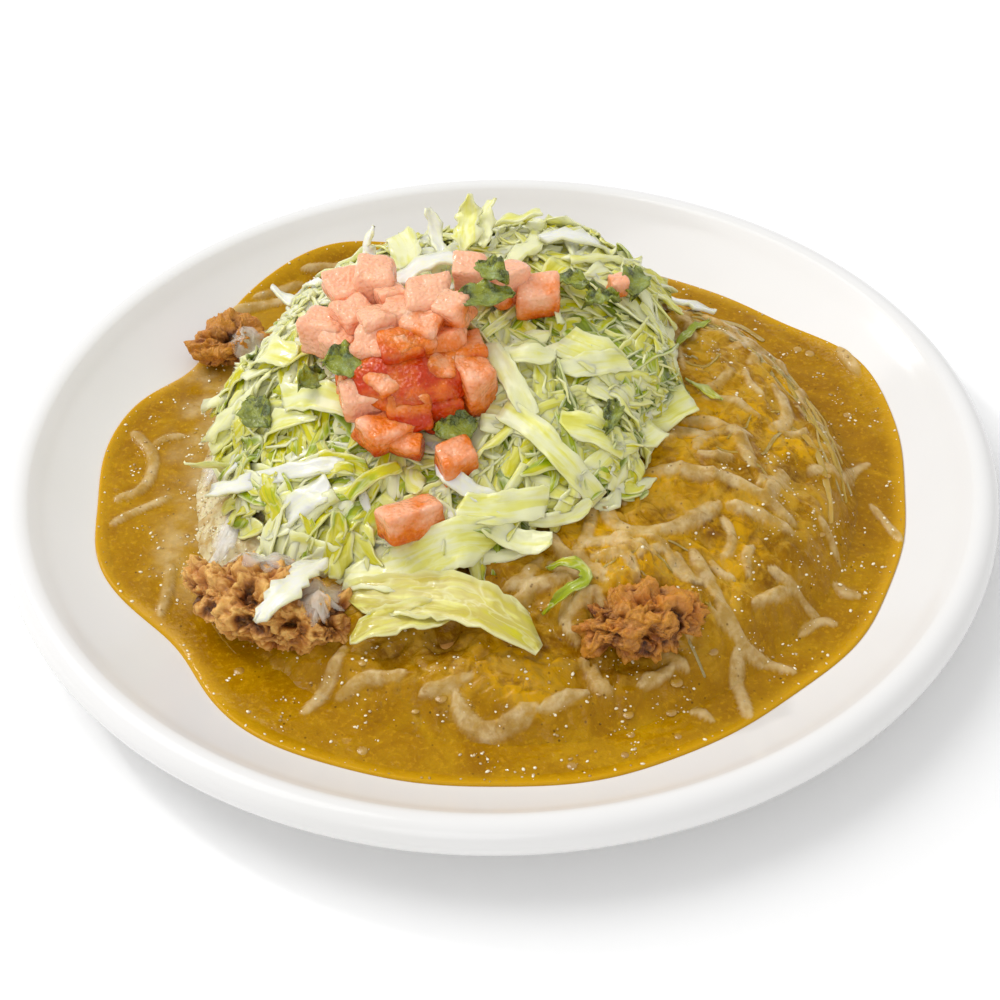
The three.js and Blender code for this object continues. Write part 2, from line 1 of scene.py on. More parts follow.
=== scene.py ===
"""Frybread taco served in its dish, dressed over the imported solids.

A round white plate holds a pool of gravy and a puffed frybread under melted cheese, with browned
beef, a bed of shredded lettuce, diced tomato and dark green leaves. Shapes are worked out in
millimetres, and each mesh is scaled to metres when it is finished.
"""

import math
import random

import bmesh
import bpy
from bpy.props import FloatProperty, FloatVectorProperty, IntProperty, PointerProperty
from mathutils import Matrix, Vector, noise
from mathutils.bvhtree import BVHTree
from mathutils.kdtree import KDTree


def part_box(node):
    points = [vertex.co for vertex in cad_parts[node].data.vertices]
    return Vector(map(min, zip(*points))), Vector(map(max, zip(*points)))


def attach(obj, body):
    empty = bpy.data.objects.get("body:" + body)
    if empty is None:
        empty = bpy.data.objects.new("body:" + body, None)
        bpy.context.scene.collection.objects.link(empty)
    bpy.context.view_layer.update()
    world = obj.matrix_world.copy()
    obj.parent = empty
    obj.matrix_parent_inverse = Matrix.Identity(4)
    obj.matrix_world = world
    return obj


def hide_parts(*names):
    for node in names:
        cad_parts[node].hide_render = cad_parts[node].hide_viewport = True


bl_info = {
    "name": "Frybread Taco in Dish",
    "version": (1, 0, 0),
    "blender": (4, 5, 0),
    "location": "View3D > Sidebar > Taco",
    "description": "Builds a frybread taco on its plate, piece by piece",
    "category": "Add Mesh",
}

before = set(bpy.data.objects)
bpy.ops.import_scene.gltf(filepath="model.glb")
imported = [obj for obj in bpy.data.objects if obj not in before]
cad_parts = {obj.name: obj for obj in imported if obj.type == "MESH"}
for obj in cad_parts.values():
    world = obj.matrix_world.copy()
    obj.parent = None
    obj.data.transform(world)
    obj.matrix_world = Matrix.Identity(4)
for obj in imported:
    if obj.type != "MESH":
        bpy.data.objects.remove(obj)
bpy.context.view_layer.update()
MM = 0.001

# Plate, in millimetres as all sizes here
PLATE_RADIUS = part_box("plate")[1].x / MM
LIP_RADIUS = 5.4
LIP_CENTRE_Z = 19.9
FLOOR_Z = 6.0
FLOOR_RADIUS = 96.0
WELL_RADIUS = 138.5
WELL_RISE = 15.5
FOOT_OUTER_RADIUS = 90.0
FOOT_INNER_RADIUS = 84.0
FOOT_HEIGHT = 2.4
FLOOR_RINGS = (0.0, 40.0, 80.0)
WELL_STEPS = 14
LIP_ARC = (126, -81, -9)

# Underside of the plate from its lip to its foot ring, as (radius, height)
UNDERSIDE = [(139.0, 14.2), (133.0, 11.4), (126.0, 9.0), (117.0, 6.6), (108.0, 4.6), (99.0, 3.1)]

# Gap between a piece of food and what carries it
GAP = 0.35

# Gravy, and how its outline swells or draws in, as (degrees, change of radius, width)
GRAVY_LEVEL = 12.5
GRAVY_RADIUS = 124.0
GRAVY_FILM = 1.2
GRAVY_EDGE_THICKNESS = 0.5
GRAVY_EDGE_ROUND = 7.0
GRAVY_SINK = 0.2
GRAVY_SWELLS = [
    (20, 5, 12), (48, -4, 14), (74, -6, 13), (118, 8, 14), (151, -7, 9), (216, -9, 11), (307, -1.5, 14),
]

# Beads of fat and bubbles on the gravy: how many lie in the milky band, along the edge and on the
# mound, how far apart they sit along a strand, and how pale they are; their cream paleness is painted glint
BAND_BEADS = 170
EDGE_BEADS = 150
MOUND_BEADS = 170
BEAD_SPACING = 2.5
BEAD_GLINT_TINTS = (0.1, 0.4, 0.8, 1.0, 1.0)
BUBBLE_TINT = 0.04

# Mound of frybread and cheese, with its swells and hollows as (x, y, height, width)
MOUND_CENTRE = (5.0, -8.0)
MOUND_RADIUS = 101.0
MOUND_EDGE_Z = 14.0
MOUND_RISE = 26.0
BREAD_INSET = 8.0
BREAD_TOP_Z = 27.0
CHEESE_THICKNESS = 4.0
MOUND_SWELLS = [
    (2, -92, 4, 14), (-30, -92, 3, 12), (10, -76, -4, 12), (40, -80, -4, 15), (60, -30, 3, 16),
    (78, 18, 2, 14), (88, -14, -3, 12), (70, -62, -3, 14), (76, 48, 4, 16),
]
RIM_SHARE = 1.05
RIM_BLEND_SHARE = 0.9
CROWN_SHARE = 0.38
# The hollow layer carries random brown patches and the painted shade of the dents
CHEESE_LAYERS = ("rim", "hollow", "pale", "golden", "strand")

# Lettuce bed
BED_CENTRE = (-12.0, -4.0)
BED_RADIUS = 66.0
BED_LIFT = 26.0
BED_BACK_LIFT = 5.0
BED_OVERHANG = 0.95
CORE_SHARE = 0.92
CORE_DEPTH = 3.5
LEAF_KINDS = ("pale", "green", "white")
STANDING_HEIGHT = 10

# Strips of lettuce that show by themselves, as (kind, width, points); a point is x, y and the
# height over the bed
LONG_STRIPS = [
    ("white", 9, [(13, 44, 2), (30, 46, 2), (46, 52, 4), (60, 56, 3), (70, 52, 2)]),
    ("pale", 10, [(-92, -19, 20), (-80, -8, 3), (-66, -14, 2), (-52, -18, 1)]),
    ("white", 5, [(-86, -22, 9), (-72, -27, 4), (-57, -32, 3), (-44, -33, 1)]),
    ("white", 8, [(-62, -41, 3), (-55, -40, 3), (-48, -38, 1)]),
    ("white", 8, [(-67, -79, 15), (-59, -71, 15), (-49, -57, 7)]),
    ("pale", 10, [(-70, -43, 3), (-57, -50, 2), (-42, -57, 1)]),
    ("pale", 15, [(-44, -57, 2), (-28, -61, 3), (-12, -60, 3), (0, -57, 1)]),
    ("olive", 15, [(-44, -66, 2), (-28, -71, 4), (-12, -76, 6), (0, -84, 6), (11, -90, 4)]),
    ("olive", 10, [(-42, -80, 3), (-34, -79, 4), (-24, -78, 4), (-12, -79, 3)]),
    ("pale", 9, [(-12, -51, 3), (-2, -52, 4), (7, -51, 4), (14, -49, 2)]),
    ("pale", 4, [(8, -53, 2), (17, -52, 4), (26, -48, 5)]),
    ("white", 5, [(-18, -38, 3), (-11, -45, 4), (1, -51, 3)]),
    ("pale", 7, [(1, -25, 2), (10, -33, 4), (18, -41, 5), (28, -46, 4)]),
    ("pale", 6, [(-3, -5, 2), (3, -17, 4), (9, -29, 3)]),
    ("pale", 12, [(18, -4, 1), (32, -10, 3), (45, -12, 5), (58, -4, 5)]),
    ("pale", 8, [(26, -17, 2), (35, -21, 3), (41, -24, 4), (47, -19, 5)]),
    ("pale", 7, [(18, -16, 3), (28, -12, 4), (38, -7, 3)]),
    ("pale", 8, [(17, -30, 2), (26, -32, 3), (36, -34, 4)]),
    ("pale", 7, [(-4, -54, 2), (5, -58, 4), (14, -61, 6)]),
    ("white", 4, [(-73, 66, 24), (-66, 58, 18), (-60, 50, 10), (-54, 40, 3)]),
    ("white", 4, [(-37, 40, 14), (-39, 38, 7), (-35, 32, 2)]),
    ("white", 4, [(-20, 50, 12), (-18, 44, 4), (-16, 36, 1)]),
    ("pale", 8, [(-8, 51, 15), (-8, 48, 8), (-9, 34, 2)]),
    ("pale", 5, [(0, 52, 12), (-3, 48, 7), (-3, 36, 2)]),
    ("pale", 6, [(-2, 51, 3), (6, 53, 4), (15, 56, 5)]),
    ("white", 7, [(-30, 20, 2), (-20, 26, 4), (-10, 28, 3)]),
    ("pale", 9, [(-30, 47, 6), (-28, 42, 4), (-26, 30, 2)]),
    ("pale", 9, [(-64, -7, 2), (-52, -14, 4), (-42, -18, 2)]),
    ("pale", 9, [(-78, 22, 3), (-69, 12, 3), (-60, 4, 2)]),
    ("green", 4, [(-43, -43, 2), (-36, -40, 4), (-28, -36, 2)]),
    ("pale", 6, [(0, -10, 2), (9, -12, 4), (17, -11, 2)]),
]

# Patches where green shreds lie on top, as (x, y, width)
GREEN_PATCHES = [(-52, -14, 11), (-46, -34, 9), (-28, -36, 10), (30, 2, 12), (44, -16, 10), (20, -30, 8)]

# Middle of the tomato heap, as its place with the height over the bed, and its three radii; its deep red,
# like that of the reddest dice about it, is the inner flesh and partly painted shade
TOMATO_CORE = ((-25, -9, 3), (22, 19, 9))

# Dice of tomato: those that show in the heap, those between them and those apart from it, as (x, y,
# height over the bed, width, depth, height, turn, tilt, ripeness from pale flesh to red)
DIE_CUTS = 8
HEAP_DIE_GROWTH = 1.07
HEAP_DICE = [
    (-43, 17, 7, 12, 12, 12, 20, 12, 0.1),
    (-35, 15, 9, 11, 11, 12, -14, 6, 0.1),
    (-49, 4, 6, 13, 11, 11, -25, -8, 0.1),
    (-41, 4, 9, 10, 10, 10, 32, 10, 0.2),
    (-20, 2, 9, 12, 11, 12, 8, 14, 0.2),
    (-28, -1, 10, 10, 10, 10, -18, -6, 0.3),
    (-34, -10, 11, 12, 10, 10, -14, 18, 0.3),
    (-24, -11, 12, 11, 10, 10, 26, 10, 0.7),
    (-15, -8, 9, 12, 10, 11, 22, -14, 0.65),
    (-7, -17, 6, 10, 12, 13, 40, 10, 0.55),
    (-38, -21, 8, 12, 9, 9, 14, 20, 0.1),
    (-25, -24, 8, 12, 10, 10, -6, -12, 0.75),
    (-32, -29, 5, 13, 10, 9, 26, 8, 0.6),
    (-16, -22, 6, 11, 10, 10, 12, 16, 1.1),
]
FILLING_DICE = [
    (-27, -13, 13, 11, 10, 9, 12, 10, 0.9),
    (-21, -6, 12, 11, 10, 9, -30, 8, 0.5),
    (-33, -3, 11, 11, 10, 10, 20, -12, 0.2),
    (-17, -15, 10, 10, 10, 9, 0, 12, 0.8),
    (-31, -20, 10, 11, 9, 9, 34, 12, 0.7),
    (-40, -12, 7, 10, 9, 9, 4, 10, 0.3),
    (-44, -2, 6, 10, 10, 9, 50, 6, 0.2),
    (-10, -9, 7, 10, 10, 9, 12, 10, 0.7),
    (-21, -16, 8, 9, 8, 8, 30, 5, 1.0),
    (-12, -14, 7, 8, 8, 9, -12, 14, 1.0),
    (-18, -19, 8, 7, 7, 7, 44, -8, 1.1),
    (-30, -17, 9, 8, 7, 7, 8, 25, 0.6),
    (-30, 8, 8, 8, 8, 8, 15, -16, 0.3),
    (-12, -3, 8, 8, 9, 8, -24, 9, 0.3),
    (-26, -32, 5, 9, 7, 7, -20, 14, 0.7),
]
LOOSE_DICE = [
    (-12, -38, 3.5, 11, 9, 9, 28, 14, 0.6),
    (-25, -53, 6, 17, 10, 10, 24, -16, 0.5),
    (36, 20, 4, 5, 5, 5, 15, 10, 0.4),
    (-7, 14, 7, 10, 10, 11, -12, 6, 0.1),
    (3, 12, 6, 10, 10, 11, 38, -10, 0.1),
    (12, 9, 5, 13, 10, 8, 10, 12, 0.5),
]

# Dark leaves, as (x, y, height over the bed, length, width, turn, tilt, curl)
GREEN_LEAVES = [
    (-4, -2, 14, 19, 6, 12, -24, 2.5),
    (-1, 4, 17, 12, 6, -50, -16, 2),
    (-43, -15, 15, 12, 8, 10, -36, 1.5),
    (-54, -9, 6, 9, 6, 50, -30, 1),
    (41, 23, 6, 15, 7, 84, -20, 2),
    (-71, -8, 5, 14, 8, -60, -24, 1.5),
    (22, 17, 4, 12, 5, -20, -8, 1.5),
    (31, 12, 4, 10, 4, 12, -10, 1),
    (-12, -29, 5, 12, 8, 20, -30, 1.5),
    (32, -27, 4, 13, 4, 78, -18, 2),
]

# Bright green slivers, as (width, points); a point is x, y and the height over the cheese
GREEN_SLIVERS = [
    (2.6, [(68, 46, 2), (61, 36, 2), (54, 24, 2)]),
    (2.4, [(57, 11, 2), (62, 4, 2), (67, -1, 2)]),
    (3.4, [(13, -65, 2), (17, -66, 5), (22, -68, 4), (23, -72, 2), (18, -74, 4), (11, -76, 3)]),
]

# Strands of melted cheese in the gravy and over the mound, as (width, points)
GRAVY_STRANDS = [
    (4.2, [(-116, 23), (-109, 13), (-108, 2), (-111, -5), (-117, -8)]),
    (3.4, [(-117, -19), (-109, -13), (-101, -8)]),
    (3.8, [(-97, -38), (-97, -48), (-98, -57)]),
    (3.0, [(-109, 17), (-105, 20), (-100, 21)]),
    (4.4, [(-90, 85), (-81, 89), (-71, 93)]),
    (3.4, [(-83, 92), (-76, 96), (-68, 101)]),
    (3.4, [(-67, 107), (-60, 109), (-53, 110)]),
    (5.0, [(-47, 115), (-44, 114), (-40, 112)]),
    (3.0, [(112, -18), (115, -25), (118, -34)]),
    (4.6, [(97, -52), (99, -55), (102, -56)]),
    (3.4, [(104, -13), (109, -3), (114, 1)]),
    (3.4, [(84, -71), (90, -66), (94, -67)]),
    (3.6, [(51, -99), (53, -99), (56, -102)]),
    (4.0, [(113, 56), (115, 50), (117, 44)]),
    (1.8, [(73, 77), (82, 73), (89, 64)]),
]
MOUND_STRANDS = [
    (4.0, [(29, -36), (31, -49), (39, -54), (51, -49), (62, -42)]),
    (4.2, [(62, -33), (70, -35), (77, -38), (84, -41)]),
    (3.8, [(65, -42), (74, -43), (83, -45)]),
    (3.6, [(26, -41), (25, -51), (22, -58)]),
    (4.6, [(43, -31), (53, -32), (64, -34)]),
    (4.8, [(54, -58), (56, -62), (58, -67)]),
    (4.0, [(58, -66), (61, -74), (66, -80), (73, -82), (80, -85)]),
    (4.2, [(65, -82), (64, -89), (65, -95), (66, -101)]),
    (4.2, [(1, -75), (5, -71), (9, -67)]),
    (4.0, [(-54, -96), (-50, -91), (-46, -85), (-44, -80)]),
    (3.4, [(-45, -92), (-36, -91), (-27, -92)]),
    (3.0, [(-22, -97), (-16, -96), (-9, -94)]),
    (4.2, [(-13, -98), (-11, -102), (-6, -106), (0, -106), (8, -103)]),
    (3.2, [(10, -103), (15, -101), (22, -98)]),
    (3.6, [(50, 56), (52, 46), (57, 36)]),
    (3.0, [(72, 40), (80, 36), (88, 26)]),
    (3.6, [(13, -52), (16, -57), (19, -61)]),
    (3.4, [(46, -58), (48, -63), (52, -67)]),
    (3.0, [(71, -52), (69, -56), (69, -61)]),
    (3.6, [(1, -68), (7, -64), (11, -60)]),
    (3.0, [(32, 29), (41, 36), (50, 40)]),
    (3.8, [(49, 26), (51, 31), (54, 40)]),
    (3.4, [(50, -74), (51, -78), (51, -82)]),
    (3.4, [(37, -94), (41, -92), (46, -89)]),
    (3.4, [(32, -32), (34, -37), (35, -42)]),
    (3.0, [(38, -65), (43, -60), (47, -59)]),
    (3.4, [(81, -62), (75, -66), (70, -70)]),
    (3.0, [(93, -37), (96, -40), (98, -44)]),
    (5.0, [(47, -18), (53, -13), (61, -14)]),
    (5.0, [(70, -11), (72, -19), (73, -26)]),
    (3.6, [(-91, -21), (-85, -20), (-78, -17)]),
    (1.4, [(65, 44), (73, 36), (84, 30), (92, 22)]),
    (1.2, [(62, 50), (72, 46), (84, 38), (95, 24)]),
    (1.4, [(84, 34), (93, 16), (98, 0), (101, -14)]),
    (1.2, [(90, 26), (97, 8), (102, -8), (106, -16)]),
    (2.0, [(86, 2), (94, -8), (97, -22), (96, -36)]),
]
ALL_STRANDS = GRAVY_STRANDS + MOUND_STRANDS

# Strands narrower than this are strings of their own, and most of them follow the mound's ridge
FIBRE_WIDTH = 2.2
FIBRE_FLATNESS = 0.3
RIDGE = [(58, 53), (68, 47), (80, 37), (90, 24), (97, 8), (101, -8), (104, -22)]

# Dents in the cheese, darkened with painted shade, as (x, y, depth, width)
DENTS = [
    (47, -46, 1.2, 4), (55, -66, 1.2, 4), (87, -21, 1.5, 5), (66, -36, 0.8, 3), (83, 32, 1.0, 6),
    (-13, -80, 4.0, 7), (-17, -85, 1.5, 6), (26, -88, 2.0, 9), (10, -84, 1.5, 9), (38, -92, 1.2, 8),
    (70, -86, 0.8, 4), (94, 8, 1.0, 6), (60, -48, 1.0, 6), (75, -60, 0.8, 5), (-30, -86, 2.0, 6),
]

# Where the cheese climbs over the front beef, as (x, y, height, width)
CLIMBS = [(38, -66, 7.5, 9), (24, -74, 5, 6), (54, -74, 5, 6)]

# Patches of yellow cheese, as (x, y, width)
YELLOW_PATCHES = [
    (59, -10, 9), (38, -70, 10), (86, -10, 7), (43, -30, 9), (64, -50, 10), (28, -55, 8), (78, -2, 7),
    (5, -98, 12), (92, 20, 6),
]

# Films of melted white or yellow cheese, as (x, y, two radii, turn, thickness, yellowness)
FILMS = [
    (-66, -53, 11, 7, 20, 0.7, 0.0), (-50, -70, 5, 8, -8, 0.6, 0.15), (-83, 44, 4, 11, 10, 0.6, 0.0),
    (-84, 22, 4, 12, 4, 0.6, 0.0), (-86, 2, 4, 10, -6, 0.6, 0.0), (-80, -32, 4, 11, -14, 0.6, 0.0),
    (-80, 60, 7, 5, 20, 0.6, 0.1), (-58, -44, 7, 5, 10, 0.6, 0.0),
]

# How far a film bridges over gaps, from how high up its ground is felt for, and how far it sinks in
FILM_BRIDGE = 2.5
FILM_START = 200
FILM_SINK = 0.25

# Seed of the noise that bends the beef's crust
BEEF_SEED = 7

# Crumbles of browned beef, as (x, y, height over the bed, three radii, turn, seed)
BEEF_CRUMBLES = [
    (-65, -64, 3.5, 25, 13, 10, -26, 3),
    (38, -80, 3.5, 17, 10, 9, 8, 11),
    (-89, 64, 2.5, 12, 9, 7, 30, 19),
]

# Camera and lights
CAMERA_AIM = (0.0, 1.8, 0.0)
CAMERA_DISTANCE = 600.0
CAMERA_ELEVATION = 42.2
CAMERA_ROLL = -1.1
CAMERA_LENS = 68.8
SENSOR_WIDTH = 36.0
FLOOR_SIZE = 12.0

# Round soft lights, as (place, width) in metres; each shines at the middle of the plate
LIGHTS = {
    "key": ((-1.3, 0.7, 2.4), 2.1),
    "fill": ((-0.4, -2.0, 1.5), 1.4),
    "spark": ((-1.7, 1.25, 1.65), 0.25),
}


def shown(red, green, blue):
    """A colour as it shows on a screen, from 0 to 255, as the linear colour that Blender keeps."""
    channels = []
    for value in (red, green, blue):
        share = value / 255
        channels.append(share / 12.92 if share <= 0.04045 else ((share + 0.055) / 1.055) ** 2.4)
    return tuple(channels)


# Surfaces of the food, in millimetres


def bell(distance, width):
    """1 at no distance, and close to 0 beyond twice the width."""
    return math.exp(-((distance / width) ** 2))


def turn_between(first, second):
    """The shorter way round from the second angle to the first."""
    return math.atan2(math.sin(first - second), math.cos(first - second))


def clamped(value, low=0.0, high=1.0):
    return min(high, max(low, value))


def eased(value, low, high):
    """0 below low, 1 above high and a smooth rise between."""
    share = clamped((value - low) / (high - low))
    return share * share * (3 - 2 * share)


def waves(x, y, size, layer=0.0):
    """Smooth random heights from -1 to 1, with bumps of about the given size."""
    return noise.noise(Vector((x / size, y / size, layer)))


def plate_height(radius):
    """Upper face of the plate: a flat floor, and a well that steepens outward."""
    along = max(0.0, radius - FLOOR_RADIUS) / (WELL_RADIUS - FLOOR_RADIUS)
    return FLOOR_Z + WELL_RISE * along**2


def gravy_edge(angle):
    """Radius of the gravy's wavy outline about the plate's axis."""
    radius = GRAVY_RADIUS + 0.5 * math.sin(9 * angle + 1) + 0.35 * math.sin(17 * angle)
    for degrees, change, width in GRAVY_SWELLS:
        radius += change * bell(turn_between(angle, math.radians(degrees)), math.radians(width))
    return radius


def mound_edge(angle):
    """Radius of the mound's outline about its centre."""
    return MOUND_RADIUS + 2 * math.cos(angle - 0.3) + 1.4 * math.sin(3 * angle + 0.6)


def place_in(centre, edge, x, y):
    """Angle about a centre, and distance as a share of an outline's radius."""
    angle = math.atan2(y - centre[1], x - centre[0])
    return angle, math.hypot(x - centre[0], y - centre[1]) / edge(angle)


def gravy_level(x, y):
    """Upper face of the gravy at rest, rounded down to the plate along its edge."""
    radius = math.hypot(x, y)
    plate = plate_height(radius) + GAP
    full = max(GRAVY_LEVEL, plate + GRAVY_FILM)
    inside = (gravy_edge(math.atan2(y, x)) - radius) / GRAVY_EDGE_ROUND
    bulge = math.sqrt(1 - (1 - clamped(inside)) ** 2)
    return plate + GRAVY_EDGE_THICKNESS + (full - plate - GRAVY_EDGE_THICKNESS) * bulge


def ripple(x, y):
    """How far the gravy's skin stands over its level: slow swells and patches of fine bumps."""
    slow = 0.35 * waves(x, y, 17, 3.0) + 0.16 * waves(x, y, 6, 9.0)
    patch = eased(waves(x, y, 12, 20.0), 0.1, 0.4)
    fine = (0.03 + 0.28 * patch) * waves(x, y, 2.1, 31.0)
    return slow + fine


def gravy_top(x, y):
    """Upper face of the gravy with its ripples, drawn down to the plate along its edge."""
    radius = math.hypot(x, y)
    inside = max(0.0, gravy_edge(math.atan2(y, x)) - radius)
    full = gravy_level(x, y) + ripple(x, y) * eased(inside, 0.0, 4.0)
    return min(full, plate_height(radius) + 1.35 * math.sqrt(inside))


def milkiness(x, y):
    """How much cheese has melted into the gravy: a broken band left of the lettuce."""
    band = eased(-x, 74, 86) * (1 - eased(-x, 94, 108))
    band *= eased(y, -60, -35)
    band *= 1 - eased(y, 64, 86)
    return band * clamped(0.5 + 1.1 * waves(x, y, 8, 55.0))


def mound_form(x, y):
    """Upper face of the mound as the solid has it."""
    angle, share = place_in(MOUND_CENTRE, mound_edge, x, y)
    inner = min(1.0, share)
    fullness = 2.8 + 1.7 * math.cos(angle - 0.6)
    height = MOUND_EDGE_Z + MOUND_RISE * (1 - inner**fullness) ** 0.75
    for swell_x, swell_y, rise, width in MOUND_SWELLS:
        height += rise * bell(math.hypot(x - swell_x, y - swell_y), width) * (1 - inner**8)
    return height


def dent(x, y):
    """How deep the dents lie at a place, and how much painted shade darkens them, from 0 to 1."""
    depth = 0.0
    dark = 0.0
    for dent_x, dent_y, deep, width in DENTS:
        share = bell(math.hypot(x - dent_x, y - dent_y), width)
        depth += deep * share
        dark = max(dark, share)
    return depth, dark


def lumps(x, y, smoothed):
    """Folds and lumps of the cheese over the mound's form, the small ones fainter under a strand."""
    broad = 1.7 * waves(x, y, 20, 50.0) + 1.4 * waves(x, y, 9, 57.0)
    folds = 1.5 * (1 - abs(waves(x * 0.8 + y * 0.5, y * 0.8 - x * 0.3, 11, 61.0))) ** 5
    creases = -1.1 * (1 - abs(waves(x + 0.3 * y, y, 7, 83.0))) ** 9
    patch = eased(waves(x, y, 12, 70.0), -0.1, 0.3)
    fine = (0.1 + 0.4 * patch) * waves(x, y, 2.4, 75.0)
    climb = 0.0
    for climb_x, climb_y, rise, width in CLIMBS:
        rough = 1 + 0.3 * waves(x, y, 5, 91.0) + 0.3 * waves(x, y, 2.2, 93.0)
        climb += rise * rough * bell(math.hypot(x - climb_x, y - climb_y), width)
    small = creases + 0.5 * waves(x, y, 4.5, 64.0) + fine
    return broad + folds + small * (1 - smoothed) - 0.5 + climb - dent(x, y)[0]


def cheese_top(x, y, smoothed=0.0):
    """Upper face of the cheese, which runs out into the gravy around it."""
    _, share = place_in(MOUND_CENTRE, mound_edge, x, y)
    sunk = gravy_level(x, y) - 0.9
    full = mound_form(x, y) + lumps(x, y, smoothed)
    held = 1 - eased(share, RIM_BLEND_SHARE, RIM_SHARE)
    return sunk + (full - sunk) * held


def bread_top(x, y):
    """Underside of the cheese, which the frybread fills."""
    return min(BREAD_TOP_Z, mound_form(x, y) - CHEESE_THICKNESS)


def ground_top(x, y):
    """What lies under the toppings: the cheese or, beyond it, the gravy."""
    _, share = place_in(MOUND_CENTRE, mound_edge, x, y)
    if share >= RIM_SHARE:
        return gravy_top(x, y)
    return max(cheese_top(x, y), gravy_top(x, y))


def bed_edge(angle):
    """Radius of the lettuce bed about its centre, drawn out at the back right."""
    reach = 17 * bell(turn_between(angle, 0.95), 0.5)
    ragged = 2.2 * math.sin(7 * angle) + 1.6 * math.sin(11 * angle + 1)
    return BED_RADIUS + 8 * math.sin(angle) - 5 * math.cos(angle) + reach + ragged


def bed_top(x, y, spread=1.0):
    """Upper face of the lettuce bed: steep at the back, sloping at the front."""
    angle, share = place_in(BED_CENTRE, bed_edge, x, y)
    fullness = 4.5 + 3.5 * math.sin(angle)
    lift = BED_LIFT + BED_BACK_LIFT * math.sin(angle)
    thickness = lift * (1 - min(1.0, share * spread) ** fullness) ** 0.6
    return max(mound_form(x, y), GRAVY_LEVEL) + thickness


def lushness(x, y):
    """How many more of the shreds are green: fewer at the back, more on the green patches."""
    lush = -0.14 * eased(y, 10, 40)
    for green_x, green_y, width in GREEN_PATCHES:
        lush += 0.9 * bell(math.hypot(x - green_x, y - green_y), width)
    return lush


def bed_normal(x, y):
    """Direction out of the bed, smoothed over 6 mm."""
    rise_x = (bed_top(x + 3, y) - bed_top(x - 3, y)) / 6
    rise_y = (bed_top(x, y + 3) - bed_top(x, y - 3)) / 6
    steep = max(1.0, math.hypot(rise_x, rise_y) / 1.6)
    return Vector((-rise_x / steep, -rise_y / steep, 1)).normalized()


def on_food(x, y, height):
    """A place at a height over the lettuce bed or, beside it, over the mound."""
    return Vector((x, y, bed_top(x, y) + height))


# Mesh work


def point_at(centre, angle, distance):
    return centre[0] + distance * math.cos(angle), centre[1] + distance * math.sin(angle)


def bent_point(x, y, length, heading, bend, t):
    """A place on a short line that turns about its middle, where t runs from -0.5 to 0.5."""
    turn = heading + bend * t
    return x + length * t * math.cos(turn), y + length * t * math.sin(turn)


def spun(profile, steps, closed=False):
    """A profile of (radius, height) points carried a full turn about Z: a grid bent round."""
    shape = bmesh.new()
    rows = profile + profile[:1] if closed else profile
    bmesh.ops.create_grid(shape, x_segments=steps, y_segments=len(rows) - 1, size=0.5)
    for vertex in shape.verts:
        angle = 2 * math.pi * vertex.co.x
        radius, height = rows[round((vertex.co.y + 0.5) * (len(rows) - 1))]
        vertex.co = (radius * math.cos(angle), radius * math.sin(angle), height)
    bmesh.ops.remove_doubles(shape, verts=shape.verts, dist=1e-5)
    return shape


def placed(shape, place):
    """Moves each vertex of a spun shape to place(angle, radius, height)."""
    for vertex in shape.verts:
        x, y, z = vertex.co
        vertex.co = place(math.atan2(y, x), math.hypot(x, y), z)
    return shape


def layered(*names):
    """An empty shape with a layer of values for each name."""
    shape = bmesh.new()
    for name in names:
        shape.verts.layers.float.new(name)
    return shape


def leaf_shape():
    """An empty shape with the layers that lay_strip fills."""
    shape = layered("tint", "span")
    shape.verts.layers.float_vector.new("grain")
    return shape


def finish_piece(shape, name, looks, nodes=()):
    """Turns a shape in millimetres into a named piece that rides on the plate."""
    bmesh.ops.recalc_face_normals(shape, faces=shape.faces)
    bmesh.ops.scale(shape, vec=(MM, MM, MM), verts=shape.verts)
    mesh = bpy.data.meshes.new(name)
    shape.to_mesh(mesh)
    shape.free()
    mesh.polygons.foreach_set("use_smooth", [True] * len(mesh.polygons))
    mesh.materials.append(looks)
    piece = bpy.data.objects.new(name, mesh)
    bpy.context.scene.collection.objects.link(piece)
    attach(piece, "root")
    if nodes:
        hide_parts(*nodes)


def join(shape, extra):
    """Moves an extra shape, with its layers, into another."""
    held = bpy.data.meshes.new("held")
    extra.to_mesh(held)
    extra.free()
    shape.from_mesh(held)
    bpy.data.meshes.remove(held)


class Route:
    """A smooth route through points, read by the share of its length."""

    def __init__(self, points, per_span=8):
        points = [Vector(point) for point in points]
        first = 2 * points[0] - points[1]
        last = 2 * points[-1] - points[-2]
        knots = [first, *points, last]
        self.points = []
        for a, b, c, d in zip(knots, knots[1:], knots[2:], knots[3:]):
            for step in range(per_span):
                t = step / per_span
                bend = (c - a) * t + (2 * a - 5 * b + 4 * c - d) * t**2 + (3 * b - a - 3 * c + d) * t**3
                self.points.append(b + bend / 2)
        self.points.append(points[-1])
        self.reach = [0.0]
        for before, after in zip(self.points, self.points[1:]):
            self.reach.append(self.reach[-1] + (after - before).length)
        self.length = self.reach[-1]

    def at(self, share):
        """Point and direction at a share of the length."""
        wanted = clamped(share) * self.length
        index = 0
        while index < len(self.reach) - 2 and self.reach[index + 1] < wanted:
            index += 1
        span = self.points[index + 1] - self.points[index]
        along = (wanted - self.reach[index]) / max(1e-9, self.reach[index + 1] - self.reach[index])
        return self.points[index] + span * along, span.normalized()


def flat_route(points, per_span):
    """A route through points of x and y alone."""
    return Route([(x, y, 0) for x, y in points], per_span)


